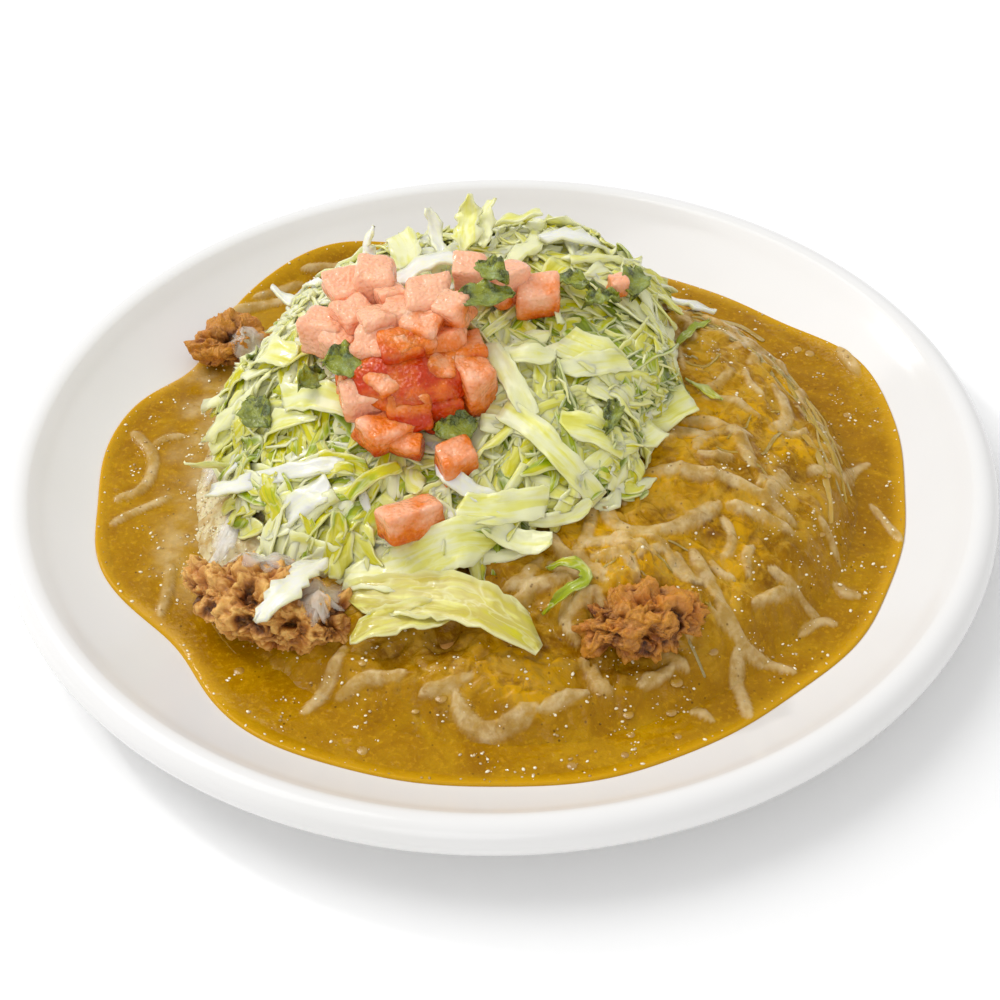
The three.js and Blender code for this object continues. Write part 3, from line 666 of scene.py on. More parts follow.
class Strands:
    """Strands that lie half sunk in the food, read at a place."""

    SPACING = 0.5
    REACH = 3.6

    def __init__(self, strands):
        self.radii = []
        spots = []
        for width, points in strands:
            route = flat_route(points, 6)
            steps = max(2, round(route.length / self.SPACING))
            for step in range(steps + 1):
                spot, _ = route.at(step / steps)
                along = step / steps * route.length
                tip = clamped(0.35 + min(along, route.length - along) / width)
                uneven = 1 + 0.16 * waves(spot.x, spot.y, 9, 140.0)
                spots.append(spot)
                self.radii.append(width / 2 * uneven * math.sqrt(tip))
        self.tree = KDTree(len(spots))
        for index, spot in enumerate(spots):
            self.tree.insert(spot, index)
        self.tree.balance()

    def at(self, x, y):
        """How far a strand stands out, and how well it covers, from 0 to 1."""
        rise = 0.0
        cover = 0.0
        for _, index, distance in self.tree.find_range((x, y, 0), self.REACH):
            radius = self.radii[index]
            inside = 1 - (distance / radius) ** 2
            if inside > 0:
                rise = max(rise, 0.5 * radius * inside**0.65)
                cover = max(cover, inside)
        return rise, eased(cover, 0.0, 0.62)


def across(direction, outward=None):
    """Side and upward directions about a direction of travel."""
    if outward is None or abs(direction.dot(outward)) > 0.9:
        outward = Vector((0, -1, 0)) if abs(direction.z) > 0.85 else Vector((0, 0, 1))
    side = direction.cross(outward).normalized()
    return side, side.cross(direction)


def lay_strip(shape, points, width, draw, tint, rows, cup, ruffle, twist, taper, ragged):
    """A shred of leaf along a route: a grid bent along it, cupped, ruffled and cut aslant.

    The cup is a share of the width, the ruffle is in millimetres, the twist in radians over the whole
    length, the taper is the width of the ends as a share, and ragged is how uneven the edges are.
    """
    tint_layer = shape.verts.layers.float.get("tint")
    span_layer = shape.verts.layers.float.get("span")
    grain_layer = shape.verts.layers.float_vector.get("grain")
    route = Route(points)
    grid = bmesh.ops.create_grid(shape, x_segments=rows, y_segments=4, size=0.5)
    slant = draw.uniform(-0.7, 0.7) * width / max(route.length, width)
    phase = draw.uniform(0, 6.28)
    beat = route.length / draw.uniform(7, 13)
    for vertex in grid["verts"]:
        along, over = vertex.co.x, vertex.co.y * 2
        share = clamped(along + 0.5 + slant * over * 2 * abs(along))
        point, direction = route.at(share)
        side, up = across(direction, bed_normal(point.x, point.y))
        if twist:
            side, up = (Matrix.Rotation(twist * along, 3, direction) @ axis for axis in (side, up))
        half = width / 2 * (taper + (1 - taper) * math.sin(math.pi * share) ** 0.6)
        half *= 1 + ragged * 2 * waves(share * route.length, 9 * over, 2.4, phase)
        edge = abs(over) ** 2
        lift = cup * width * (edge - 0.4) + ruffle * edge * math.sin(6.28 * beat * share + phase + over)
        lift += (0.4 + 0.05 * width) * waves(point.x + 7 * over, point.y, 7, phase)
        vertex.co = point + side * (half * over) + up * lift
        vertex[tint_layer] = tint + 0.16 * waves(share * 3, over, 1, phase)
        vertex[span_layer] = max(abs(over), 1 - 4 * min(share, 1 - share) * route.length / width)
        vertex[grain_layer] = (share * route.length, over * half, phase * 9)


def lay_strand(shape, points, width, draw, tint):
    """A string of melted cheese: a round-ended rod, flattened, along a route."""
    route = Route(points)
    rod = bmesh.new()
    tint_layer = rod.verts.layers.float.new("tint")
    bmesh.ops.create_uvsphere(rod, u_segments=10, v_segments=18, radius=1)
    radius = width / 2
    uneven = draw.uniform(0, 50)
    for vertex in rod.verts:
        share = clamped((1 - vertex.co.z) / 2)
        point, direction = route.at(share)
        side, up = across(direction)
        from_end = min(share, 1 - share) * route.length
        tip = clamped(from_end / radius)
        girth = radius * math.sqrt(1 - (1 - tip) ** 2) * (1 + 0.35 * waves(share * route.length, uneven, 6))
        around = Vector((vertex.co.x, vertex.co.y))
        around = around.normalized() if around.length > 1e-6 else around
        vertex.co = point + side * (around.x * girth) + up * (around.y * girth * FIBRE_FLATNESS)
        vertex[tint_layer] = tint
    join(shape, rod)


def lay_die(shape, die, draw, square, uneven):
    """A die of tomato: a skewed block, the squarer the higher square is, with an uneven face."""
    x, y, above, width, depth, height, turn, tilt, ripeness = die
    block = bmesh.new()
    tint_layer = block.verts.layers.float.new("tint")
    bmesh.ops.create_cube(block, size=2)
    bmesh.ops.subdivide_edges(block, edges=block.edges[:], cuts=DIE_CUTS, use_grid_fill=True)
    turned = Matrix.Rotation(math.radians(turn), 3, "Z") @ Matrix.Rotation(math.radians(tilt), 3, "X")
    centre = on_food(x, y, above)
    skew = Matrix.Identity(3)
    skew[0][1] = draw.uniform(-0.18, 0.18)
    skew[0][2] = draw.uniform(-0.2, 0.2)
    skew[1][2] = draw.uniform(-0.2, 0.2)
    seed = draw.uniform(0, 90)
    half = Vector((width / 2, depth / 2, height / 2))
    for vertex in block.verts:
        raw = vertex.co.copy()
        size = (abs(raw.x) ** square + abs(raw.y) ** square + abs(raw.z) ** square) ** (1 / square)
        raw = raw / size
        spot = Vector((raw.x * half.x, raw.y * half.y, raw.z * half.z))
        swell = uneven * noise.noise(spot / 6 + Vector((seed, 0, 0)))
        swell += 0.35 * uneven * noise.noise(spot / 2 + Vector((0, seed, 0)))
        spot = skew @ (spot + spot.normalized() * swell)
        vertex.co = turned @ spot + centre
        # Painted shade: the lower part of each die is tinted riper and more orange, the top paler
        vertex[tint_layer] = ripeness - 0.26 * raw.z + 0.25 * noise.noise(spot / 6 + Vector((seed, 4, 0)))
    join(shape, block)


def lay_leaf(shape, leaf, draw):
    """A dark leaf with a folded midrib, pointed ends and a ragged, curled edge."""
    x, y, above, length, width, turn, tilt, curl = leaf
    grid = bmesh.ops.create_grid(shape, x_segments=18, y_segments=8, size=0.5)
    turned = Matrix.Rotation(math.radians(turn), 3, "Z") @ Matrix.Rotation(math.radians(-tilt), 3, "X")
    centre = on_food(x, y, above)
    phase = draw.uniform(0, 6.28)
    span_layer = shape.verts.layers.float.get("span")
    for vertex in grid["verts"]:
        along, over = vertex.co.x * 2, vertex.co.y * 2
        outline = (1 - along**2) ** 0.7 * (1 + 0.12 * math.sin(9 * along + phase))
        half = width * 0.62 * outline
        fold = 1.3 * abs(over) ** 1.3
        rise = curl * (0.6 - along**2) + fold + 0.7 * math.sin(4 * along + 2.4 * over + phase)
        rise += 0.5 * math.sin(11 * along + phase) * abs(over) + 0.35 * math.sin(17 * over * along + phase)
        spot = Vector((along * length / 2, over * half, rise))
        vertex.co = turned @ spot + centre
        vertex[span_layer] = over


def beef_height(spot, seed):
    """How far the beef's crust stands out: its lumps, and its crumbs and holes."""
    shift = Vector((seed, seed * 2, -seed))
    bent = spot + 2.0 * noise.noise_vector(spot / 4 + shift)
    rough = noise.fractal(bent / 3.2 - shift, 0.6, 2.1, 5)
    crumb = noise.voronoi(bent / 2.3 + shift)[0][0]
    grain = noise.voronoi(bent / 1.2 - shift)[0][0]
    hollow = clamped(noise.noise(bent / 6 - shift) - 0.12)
    uneven = 0.5 + clamped(0.5 + noise.noise(spot / 7 + 2 * shift))
    crag = 1.3 * rough + 1.1 * (0.35 - crumb**2) + 0.6 * (0.3 - grain**2)
    return 4.4 * noise.noise(spot / 7 + shift), uneven * crag - 6.0 * hollow


def cut_crumble(shape, crumble, subdivisions):
    """A crumble of browned beef: a knobbed lump with crumbs and grains, and creases that its finish darkens
    as painted shade.
    """
    x, y, above, radius_x, radius_y, radius_z, turn, seed = crumble
    crag_layer = shape.verts.layers.float.new("crag")
    lump = bmesh.ops.create_icosphere(shape, subdivisions=subdivisions, radius=1)["verts"]
    turned = Matrix.Rotation(math.radians(turn), 3, "Z")
    centre = on_food(x, y, above)
    share = min(1.0, radius_z / 9)
    for vertex in lump:
        way = vertex.co.copy()
        knobs = math.sin(6 * way.x + seed) * math.cos(5 * way.y - seed) * math.sin(5 * way.z + 2 * seed)
        crease = abs(math.sin(4 * way.x + 5 * way.y + 3 * way.z + seed)) - 0.6
        swell = 1 + 0.14 * knobs + 0.12 * crease
        spot = Vector((way.x * radius_x, way.y * radius_y, way.z * radius_z)) * swell
        lumps_out, crag = beef_height(spot, seed)
        outward = Vector((way.x / radius_x, way.y / radius_y, way.z / radius_z)).normalized()
        aside = 0.8 * noise.noise_vector(spot / 2.2 - Vector((seed, 0, 0)))
        vertex.co = turned @ (spot + (outward * (lumps_out + crag) + aside) * share) + centre
        # The relief, which the finish paints dark in creases and hollows as painted shade, and light on the
        # raised crumbs as partly painted highlight
        vertex[crag_layer] = crag + 0.25 * lumps_out


# Finishes


class Finish:
    """A material being made: its nodes, its shader and the place on the piece."""

    def __init__(self, name, roughness, specular=0.5):
        self.material = bpy.data.materials.new(name)
        self.material.use_nodes = True
        self.nodes = self.material.node_tree.nodes
        self.links = self.material.node_tree.links
        self.shader = self.nodes["Principled BSDF"]
        self.shader.inputs["Roughness"].default_value = roughness
        self.shader.inputs["Specular IOR Level"].default_value = specular
        self.place = self.nodes.new("ShaderNodeTexCoord").outputs["Object"]

    def soften(self, weight, reach):
        """Light that scatters under the surface, as far as reach in each colour, in millimetres."""
        self.shader.inputs["Subsurface Weight"].default_value = weight
        self.shader.inputs["Subsurface Radius"].default_value = reach
        self.shader.inputs["Subsurface Scale"].default_value = MM

    def noise(self, size, detail=3.0, roughness=0.55, distortion=0.0):
        """Noise with features of a size in millimetres."""
        node = self.nodes.new("ShaderNodeTexNoise")
        node.inputs["Scale"].default_value = 1 / (size * MM)
        node.inputs["Detail"].default_value = detail
        node.inputs["Roughness"].default_value = roughness
        node.inputs["Distortion"].default_value = distortion
        self.links.new(self.place, node.inputs["Vector"])
        return node.outputs["Fac"]

    def cells(self, size, smooth=False):
        """Distance to the nearest of scattered points, a size in millimetres apart."""
        node = self.nodes.new("ShaderNodeTexVoronoi")
        node.feature = "SMOOTH_F1" if smooth else "F1"
        node.inputs["Scale"].default_value = 1 / (size * MM)
        self.links.new(self.place, node.inputs["Vector"])
        return node.outputs["Distance"]

    def grain(self, along, over, detail):
        """Noise drawn out along a shred, with its size along it and over it in millimetres."""
        source = self.nodes.new("ShaderNodeAttribute")
        source.attribute_name = "grain"
        mapping = self.nodes.new("ShaderNodeMapping")
        mapping.inputs["Scale"].default_value = (1 / along, 1 / over, 1)
        node = self.nodes.new("ShaderNodeTexNoise")
        node.inputs["Scale"].default_value = 1
        node.inputs["Detail"].default_value = detail
        node.inputs["Distortion"].default_value = 0.6
        self.links.new(source.outputs["Vector"], mapping.inputs["Vector"])
        self.links.new(mapping.outputs["Vector"], node.inputs["Vector"])
        return node.outputs["Fac"]

    def plus(self, first, second):
        """The sum of two values."""
        node = self.nodes.new("ShaderNodeMath")
        node.operation = "ADD"
        self.links.new(first, node.inputs[0])
        self.links.new(second, node.inputs[1])
        return node.outputs["Value"]

    def attribute(self, name):
        """A value that the piece's own vertices carry."""
        node = self.nodes.new("ShaderNodeAttribute")
        node.attribute_name = name
        return node.outputs["Fac"]

    def remap(self, source, low, high, to_low=0.0, to_high=1.0):
        """A value's range from low to high, laid over another range and held at its ends."""
        node = self.nodes.new("ShaderNodeMapRange")
        node.inputs["From Min"].default_value = low
        node.inputs["From Max"].default_value = high
        node.inputs["To Min"].default_value = to_low
        node.inputs["To Max"].default_value = to_high
        self.links.new(source, node.inputs["Value"])
        return node.outputs["Result"]

    def times(self, first, second):
        """The product of two values, where each is a socket or a number."""
        node = self.nodes.new("ShaderNodeMath")
        node.operation = "MULTIPLY"
        for value, socket in zip((first, second), node.inputs):
            if isinstance(value, float):
                socket.default_value = value
            else:
                self.links.new(value, socket)
        return node.outputs["Value"]

    def ramp(self, source, stops):
        """Colours along a value, as (value, colour) from low to high."""
        node = self.nodes.new("ShaderNodeValToRGB")
        band = node.color_ramp
        while len(band.elements) < len(stops):
            band.elements.new(0.5)
        for element, (position, colour) in zip(band.elements, stops):
            element.position = position
            element.color = (*colour, 1)
        self.links.new(source, node.inputs["Fac"])
        return node.outputs["Color"]

    def mix(self, factor, first, second):
        """The second colour over the first, where each is a socket or a plain colour."""
        node = self.nodes.new("ShaderNodeMix")
        node.data_type = "RGBA"
        self.links.new(factor, node.inputs[0])
        for value, socket in ((first, node.inputs[6]), (second, node.inputs[7])):
            if isinstance(value, bpy.types.NodeSocket):
                self.links.new(value, socket)
            else:
                socket.default_value = (*value, 1)
        return node.outputs[2]

    def bump(self, height, depth, under=None):
        """Relief of a depth in millimetres, over any relief given before it."""
        node = self.nodes.new("ShaderNodeBump")
        node.inputs["Distance"].default_value = depth * MM
        self.links.new(height, node.inputs["Height"])
        if under is not None:
            self.links.new(under, node.inputs["Normal"])
        return node.outputs["Normal"]

    def done(self, colour, normal):
        """The material, with its colour and relief set."""
        self.links.new(colour, self.shader.inputs["Base Color"])
        self.links.new(normal, self.shader.inputs["Normal"])
        return self.material


def glaze_finish(settings):
    """White glaze with the faintest unevenness."""
    finish = Finish("white_glaze", roughness=0.14, specular=0.3)
    bright = shown(235, 234, 233)
    tone = finish.ramp(finish.noise(60), [(0.3, settings.glaze), (0.7, bright)])
    return finish.done(tone, finish.bump(finish.noise(30, 1.0), 0.05))


def gravy_tone(finish, settings):
    """Cloudy gravy with pulp and dark flecks."""
    cloud = finish.noise(20, 7.0, 0.68, 0.6)
    colour = finish.ramp(cloud, [
        (0.36, settings.deep), (0.5, settings.body), (0.64, settings.bright),
    ])
    mottle = finish.remap(finish.noise(3.2, 4.0, 0.65, 0.8), 0.36, 0.52, 1.0, 0.0)
    colour = finish.mix(finish.times(mottle, 0.32), colour, settings.deep)
    pulp = finish.remap(finish.noise(1.5, 3.0, 0.6), 0.54, 0.68)
    colour = finish.mix(finish.times(pulp, 0.45), colour, settings.thin)
    flecks = finish.remap(finish.cells(3.0), 0.08, 0.15, 1.0, 0.0)
    sparse = finish.remap(finish.noise(7), 0.48, 0.6)
    pepper = shown(66, 42, 4)
    return finish.mix(finish.times(finish.times(flecks, sparse), 0.75), colour, pepper)


def strand_tone(finish, cheese):
    """Cheese that shows through a film of gravy."""
    return finish.ramp(finish.noise(5, 3.0), [(0.38, cheese.strand), (0.62, cheese.strand_pale)])


def gravy_finish(settings, cheese):
    """Golden brown gravy, bright where it runs thin."""
    finish = Finish("gravy_film", roughness=0.12, specular=0.13)
    finish.soften(0.2, (2.0, 1.2, 0.3))
    colour = finish.mix(finish.attribute("rim"), gravy_tone(finish, settings), settings.thin)
    colour = finish.mix(finish.times(finish.attribute("strand"), 0.7), colour, strand_tone(finish, cheese))
    beads = finish.bump(finish.noise(1.5, 2.0, 0.5), 0.16)
    return finish.done(colour, finish.bump(finish.noise(3.4, 3.0), 0.3, beads))


def bead_finish(settings):
    """Beads of fat on the gravy, from its own colour to a cream of painted glints by their tint."""
    finish = Finish("gravy_bead", roughness=0.06, specular=1.0)
    colour = finish.ramp(finish.noise(3), [(0.4, settings.body), (0.6, settings.bright)])
    # Painted glints: pale beads are coloured cream in place of highlights
    colour = finish.mix(finish.attribute("tint"), colour, settings.fat_glint)
    return finish.done(colour, finish.bump(finish.noise(0.5, 1.0), 0.1))


def cheese_finish(settings, gravy):
    """Melted cheese under gravy: golden, tan and pale patches, with brown in random patches and painted
    shade in the dents.
    """
    finish = Finish("melted_cheese", roughness=0.12, specular=0.13)
    finish.soften(0.25, (2.2, 1.4, 0.4))
    patches = finish.noise(13, 5.0, 0.62, 1.4)
    colour = finish.ramp(patches, [
        (0.36, gravy.deep), (0.46, gravy.body), (0.56, settings.tan), (0.68, gravy.bright),
    ])
    webs = finish.remap(finish.noise(5, 4.0, 0.6, 2.5), 0.52, 0.6)
    colour = finish.mix(finish.times(webs, 0.45), colour, settings.tan)
    blotch = finish.remap(finish.noise(4.5, 4.0, 0.6, 1.0), 0.42, 0.56)
    colour = finish.mix(finish.times(finish.attribute("golden"), blotch), colour, settings.golden)
    broken = finish.remap(finish.noise(3, 4.0, 0.65), 0.35, 0.6, 0.25, 1.0)
    # Brown in random patches, and painted shade in the dents
    colour = finish.mix(finish.times(finish.attribute("hollow"), broken), colour, settings.brown)
    colour = finish.mix(finish.attribute("rim"), colour, gravy_tone(finish, gravy))
    milky = finish.remap(finish.noise(3.5, 4.0, 0.6, 1.0), 0.35, 0.55, 0.35, 1.0)
    colour = finish.mix(finish.times(finish.attribute("pale"), milky), colour, settings.pale)
    thin = finish.remap(finish.noise(2.6, 3.0, 0.6, 0.8), 0.36, 0.56, 0.5, 0.84)
    shows = finish.times(finish.attribute("strand"), thin)
    colour = finish.mix(shows, colour, strand_tone(finish, settings))
    flecks = finish.remap(finish.cells(4.0), 0.06, 0.12, 1.0, 0.0)
    pepper = shown(80, 46, 6)
    colour = finish.mix(finish.times(flecks, 0.6), colour, pepper)
    fine = finish.bump(finish.noise(1.6, 2.0), 0.12)
    return finish.done(colour, finish.bump(finish.noise(5, 3.0, 0.6, 1.5), 0.4, fine))


def strand_finish(settings):
    """Translucent strands of melted cheese, filmed with gravy: pale, or yellow by their tint."""
    finish = Finish("cheese_strand", roughness=0.12, specular=0.45)
    finish.soften(0.7, (3.0, 2.2, 1.2))
    finish.shader.inputs["Alpha"].default_value = 0.82
    colour = finish.ramp(finish.noise(6, 3.0), [(0.35, settings.strand), (0.7, settings.strand_pale)])
    colour = finish.mix(finish.attribute("tint"), colour, settings.golden)
    return finish.done(colour, finish.bump(finish.noise(2.4, 2.0), 0.3))


def film_finish(settings):
    """Glassy film of melted cheese, thin along its edge: white, or yellow by its tint."""
    finish = Finish("cheese_film", roughness=0.08, specular=0.9)
    finish.soften(0.08, (0.6, 0.5, 0.4))
    body = finish.remap(finish.attribute("tint"), 0.0, 1.0, 0.56, 0.4)
    edge = finish.remap(finish.attribute("span"), 0.55, 1.0, 1.0, 0.15)
    finish.links.new(finish.times(body, edge), finish.shader.inputs["Alpha"])
    colour = finish.ramp(finish.noise(3, 4.0), [(0.35, settings.film), (0.6, settings.film_bright)])
    colour = finish.mix(finish.attribute("tint"), colour, settings.golden)
    folds = finish.bump(finish.noise(2.0, 3.0, 0.6, 1.5), 0.5)
    return finish.done(colour, finish.bump(finish.noise(5, 3.0, 0.6, 1.5), 0.8, folds))


def bread_finish():
    """Fried dough: golden and blistered, with brown patches."""
    finish = Finish("fried_dough", roughness=0.6)
    pale, golden, brown = shown(232, 190, 120), shown(205, 145, 66), shown(140, 84, 30)
    colour = finish.ramp(finish.noise(9, 5.0), [(0.3, pale), (0.5, golden), (0.75, brown)])
    return finish.done(colour, finish.bump(finish.noise(3, 4.0), 0.5))


def beef_finish(settings, name, crust):
    """Browned beef, coloured by its relief: painted shade dark brown in its creases, and on its raised
    crumbs an orange gold crust that is partly painted highlight.
    """
    finish = Finish(name, roughness=0.36, specular=0.4)
    finish.soften(0.12, (1.2, 0.5, 0.2))
    crevice_shade, tan = shown(52, 20, 2), shown(200, 108, 30)
    # Painted shade low in the relief; the crust colour on the raised crumbs is partly painted highlight
    level = finish.remap(finish.attribute("crag"), -2.0, 1.1)
    colour = finish.ramp(level, [
        (0.0, crevice_shade), (0.28, settings.crease), (0.55, settings.meat), (0.85, crust),
    ])
    mottle = finish.remap(finish.noise(2.2, 5.0, 0.65), 0.42, 0.62)
    colour = finish.mix(finish.times(mottle, 0.45), colour, settings.meat)
    browned = finish.remap(finish.noise(7, 3.0), 0.5, 0.66)
    colour = finish.mix(finish.times(browned, 0.3), colour, tan)
    grain = finish.bump(finish.noise(0.7, 4.0, 0.6), 0.35)
    return finish.done(colour, finish.bump(finish.noise(1.8, 3.0), 0.5, grain))


def leaf_finish(name, settings, tones, weight=0.5, edges=0.6):
    """Lettuce: veined along its length, paler at its ribs and edges, and full of light."""
    finish = Finish(name, roughness=0.2, specular=0.5)
    finish.soften(weight, (1.0, 1.0, 0.45))
    finish.shader.inputs["Alpha"].default_value = 0.88
    streaks = finish.grain(16, 2.2, 2.5)
    drift = finish.remap(finish.noise(9, 2.0), 0.3, 0.7, -0.22, 0.22)
    level = finish.plus(finish.attribute("tint"), drift)
    level = finish.plus(level, finish.remap(streaks, 0.3, 0.7, -0.3, 0.3))
    tone = finish.ramp(level, tones)
    dark, light = (0, 0, 0), (1, 1, 1)
    veins = finish.ramp(finish.grain(14, 4.5, 2.0), [(0.46, dark), (0.5, light), (0.54, dark)])
    colour = finish.mix(finish.times(veins, 0.4), tone, settings.rib)
    edge = finish.remap(finish.attribute("span"), 0.75, 1.0)
    colour = finish.mix(finish.times(edge, edges), colour, settings.rib)
    ridges = finish.bump(streaks, 0.12)
    return finish.done(colour, finish.bump(finish.noise(5, 2.0, 0.5, 0.6), 0.3, ridges))


def tomato_finish(settings):
    """Wet tomato: pale salmon flesh that reddens with ripeness, and with painted shade low on each die and
    in the heap's core, under a grain of painted glints.
    """
    finish = Finish("tomato_flesh", roughness=0.14, specular=0.4)
    finish.soften(0.24, (2.0, 1.0, 0.35))
    shift = finish.remap(finish.noise(6, 3.0), 0.3, 0.7, -0.2, 0.3)
    flesh = finish.ramp(finish.plus(finish.attribute("tint"), shift), [
        (0.15, settings.flesh), (0.6, settings.ripe), (1.0, settings.core),
    ])
    # Painted glints: a pale grain over the flesh, fainter on the riper parts
    grain = finish.remap(finish.noise(1.4, 3.0), 0.52, 0.66)
    faint = finish.remap(finish.attribute("tint"), 0.4, 0.9, 0.25, 0.02)
    painted_glint = shown(250, 200, 168)
    colour = finish.mix(finish.times(grain, faint), flesh, painted_glint)
    pits = finish.bump(finish.cells(1.1, smooth=True), 0.45)
    return finish.done(colour, finish.bump(finish.noise(3, 3.0), 0.7, pits))


def green_finish(settings):
    """Dark green leaf with paler veins, and pale bluish patches for a waxy bloom that are partly painted
    sheen.
    """
    finish = Finish("dark_leaf", roughness=0.24, specular=0.6)
    finish.soften(0.1, (0.8, 1.0, 0.2))
    tone = finish.ramp(finish.noise(4, 4.0), [(0.43, settings.dark), (0.56, settings.fresh)])
    rib = finish.remap(finish.attribute("span"), 0.0, 0.14, 1.0, 0.0)
    veins = finish.remap(finish.noise(1.6, 3.0, 0.6, 2.5), 0.5, 0.56)
    tone = finish.mix(finish.times(veins, 0.35), tone, settings.vein)
    colour = finish.mix(finish.times(rib, 0.5), tone, settings.vein)
    # Painted sheen and waxy bloom: pale bluish patches laid by noise
    bloom_sheen = finish.remap(finish.noise(2.2, 4.0, 0.65), 0.52, 0.62)
    colour = finish.mix(finish.times(bloom_sheen, 0.3), colour, settings.bloom_sheen)
    return finish.done(colour, finish.bump(finish.noise(2.4, 4.0, 0.6, 1.0), 0.9))


# Settings


def colour_prop(name, description, default):
    return FloatVectorProperty(
        name=name, description=description, default=default, subtype="COLOR", min=0, max=1,
    )


class PlateSettings(bpy.types.PropertyGroup):
    radius: FloatProperty(
        name="Radius", description="Outer radius of the lip", default=PLATE_RADIUS * MM, unit="LENGTH",
    )
    steps: IntProperty(name="Steps", description="Facets around the plate", default=192, min=32)
    glaze: colour_prop("Glaze", "Colour of the white glaze", shown(232, 231, 229))


class GravySettings(bpy.types.PropertyGroup):
    steps: IntProperty(name="Steps", description="Facets around the pool", default=900, min=64)
    beads: IntProperty(name="Beads", description="Clusters of small glossy beads", default=330, min=0)
    bubbles: IntProperty(name="Bubbles", description="Larger bubbles in the gravy", default=26, min=0)
    seed: IntProperty(name="Seed", description="Which scatter of beads is drawn", default=5)
    deep: colour_prop("Deep", "Colour of the gravy where it is deep", shown(150, 103, 0))
    body: colour_prop("Body", "Colour of most of the gravy", shown(166, 119, 0))
    bright: colour_prop("Bright", "Colour of its bright clouds", shown(182, 137, 6))
    thin: colour_prop("Thin", "Colour along its thin edge", shown(208, 158, 20))
    # Cream painted on the pale beads as glints
    fat_glint: colour_prop("Fat", "Colour of the beads of fat", shown(255, 246, 214))


class CheeseSettings(bpy.types.PropertyGroup):
    steps: IntProperty(name="Steps", description="Facets around the blanket", default=780, min=64)
    strands: IntProperty(name="Strands", description="Short strands strewn on the mound", default=46, min=0)
    fibres: IntProperty(
        name="Fibres", description="Thin strings on the mound and its ridge", default=18, min=0,
    )
    seed: IntProperty(name="Seed", description="Which scatter of strands is drawn", default=21)
    golden: colour_prop("Golden", "Colour of the yellow cheese", shown(216, 162, 4))
    tan: colour_prop("Tan", "Colour of the cheese under gravy", shown(200, 156, 48))
    # Brown of the random patches, and painted shade in the dents
    brown: colour_prop("Brown", "Colour of its hollows", shown(112, 66, 2))
    pale: colour_prop("Pale", "Colour of the white cheese beside the lettuce", shown(226, 214, 172))
    strand: colour_prop("Strand", "Colour of the strands", shown(184, 150, 82))
    strand_pale: colour_prop("Pale strand", "Colour of the clean strands", shown(216, 192, 142))
    film: colour_prop("Film", "Colour of the white film", shown(240, 232, 214))
    film_bright: colour_prop("Bright film", "Colour of its bright folds", shown(255, 253, 248))


class BeefSettings(bpy.types.PropertyGroup):
    fineness: IntProperty(
        name="Fineness", description="Subdivisions of each crumble", default=7, min=3, max=7,
    )
    # The crust colours, dry and wet, go on the raised crumbs and are partly painted highlight
    crust: colour_prop("Crust", "Colour of the fried crust", shown(240, 190, 104))
    wet_crust: colour_prop("Wet crust", "Colour of the crust under gravy", shown(206, 140, 40))
    meat: colour_prop("Meat", "Colour of the meat", shown(190, 128, 56))
    # Painted shade in the creases and hollows
    crease: colour_prop("Crease", "Colour of the creases", shown(104, 50, 4))


class LettuceSettings(bpy.types.PropertyGroup):
    shreds: IntProperty(name="Shreds", description="Shreds strewn over the bed", default=720, min=0)
    hanging: IntProperty(name="Hanging", description="Shreds down the wall of the bed", default=230, min=1)
    seed: IntProperty(name="Seed", description="Which scatter of shreds is drawn", default=8)
    thickness: FloatProperty(
        name="Thickness", description="Thickness of a shred", default=0.0006, unit="LENGTH", precision=5,
    )
    white: colour_prop("White", "Colour of the ribs", shown(243, 243, 234))
    rib: colour_prop("Rib", "Colour of veins and edges", shown(246, 246, 196))
    pale: colour_prop("Pale", "Colour of the pale leaf", shown(238, 236, 128))
    yellow: colour_prop("Yellow", "Colour of the yellow green leaf", shown(216, 208, 12))
    olive: colour_prop("Olive", "Colour of the front leaf", shown(206, 192, 96))
    green: colour_prop("Green", "Colour of the green leaf", shown(160, 180, 4))
    shade: colour_prop("Shade", "Colour deep in the bed", shown(94, 110, 0))


class TomatoSettings(bpy.types.PropertyGroup):
    seed: IntProperty(name="Seed", description="Which shapes of dice are drawn", default=4)
    flesh: colour_prop("Flesh", "Colour of the pale flesh", shown(250, 184, 146))
    ripe: colour_prop("Ripe", "Colour of the ripe flesh", shown(234, 124, 32))
    # Red inner flesh, and in the middle of the heap partly painted shade
    core: colour_prop("Core", "Colour of the red inner flesh", shown(196, 54, 0))


class GreensSettings(bpy.types.PropertyGroup):
    seed: IntProperty(name="Seed", description="Which shapes of leaves are drawn", default=2)
    dark: colour_prop("Dark", "Colour of the dark leaf", shown(66, 74, 0))
    fresh: colour_prop("Fresh", "Colour of the fresh leaf", shown(146, 152, 0))
    vein: colour_prop("Vein", "Colour of the midrib", shown(150, 160, 70))
    # Partly painted sheen
    bloom_sheen: colour_prop("Bloom", "Colour of the waxy bloom", shown(150, 178, 140))
    sliver: colour_prop("Sliver", "Colour of the green slivers", shown(158, 172, 10))


class StageSettings(bpy.types.PropertyGroup):
    lens: FloatProperty(name="Lens", description="Focal length in millimetres", default=CAMERA_LENS)
    key: FloatProperty(
        name="Key", description="Power of the soft overhead light", default=33.0, unit="POWER",
    )
    fill: FloatProperty(
        name="Fill", description="Power of the low front light", default=8.6, unit="POWER",
    )
    spark: FloatProperty(
        name="Spark", description="Power of the small light behind", default=11.5, unit="POWER",
    )
    room: FloatProperty(name="Room", description="Strength of the white room", default=0.66)
    floor: colour_prop("Floor", "Colour of the floor", (0.98, 0.98, 0.98))


# Operators


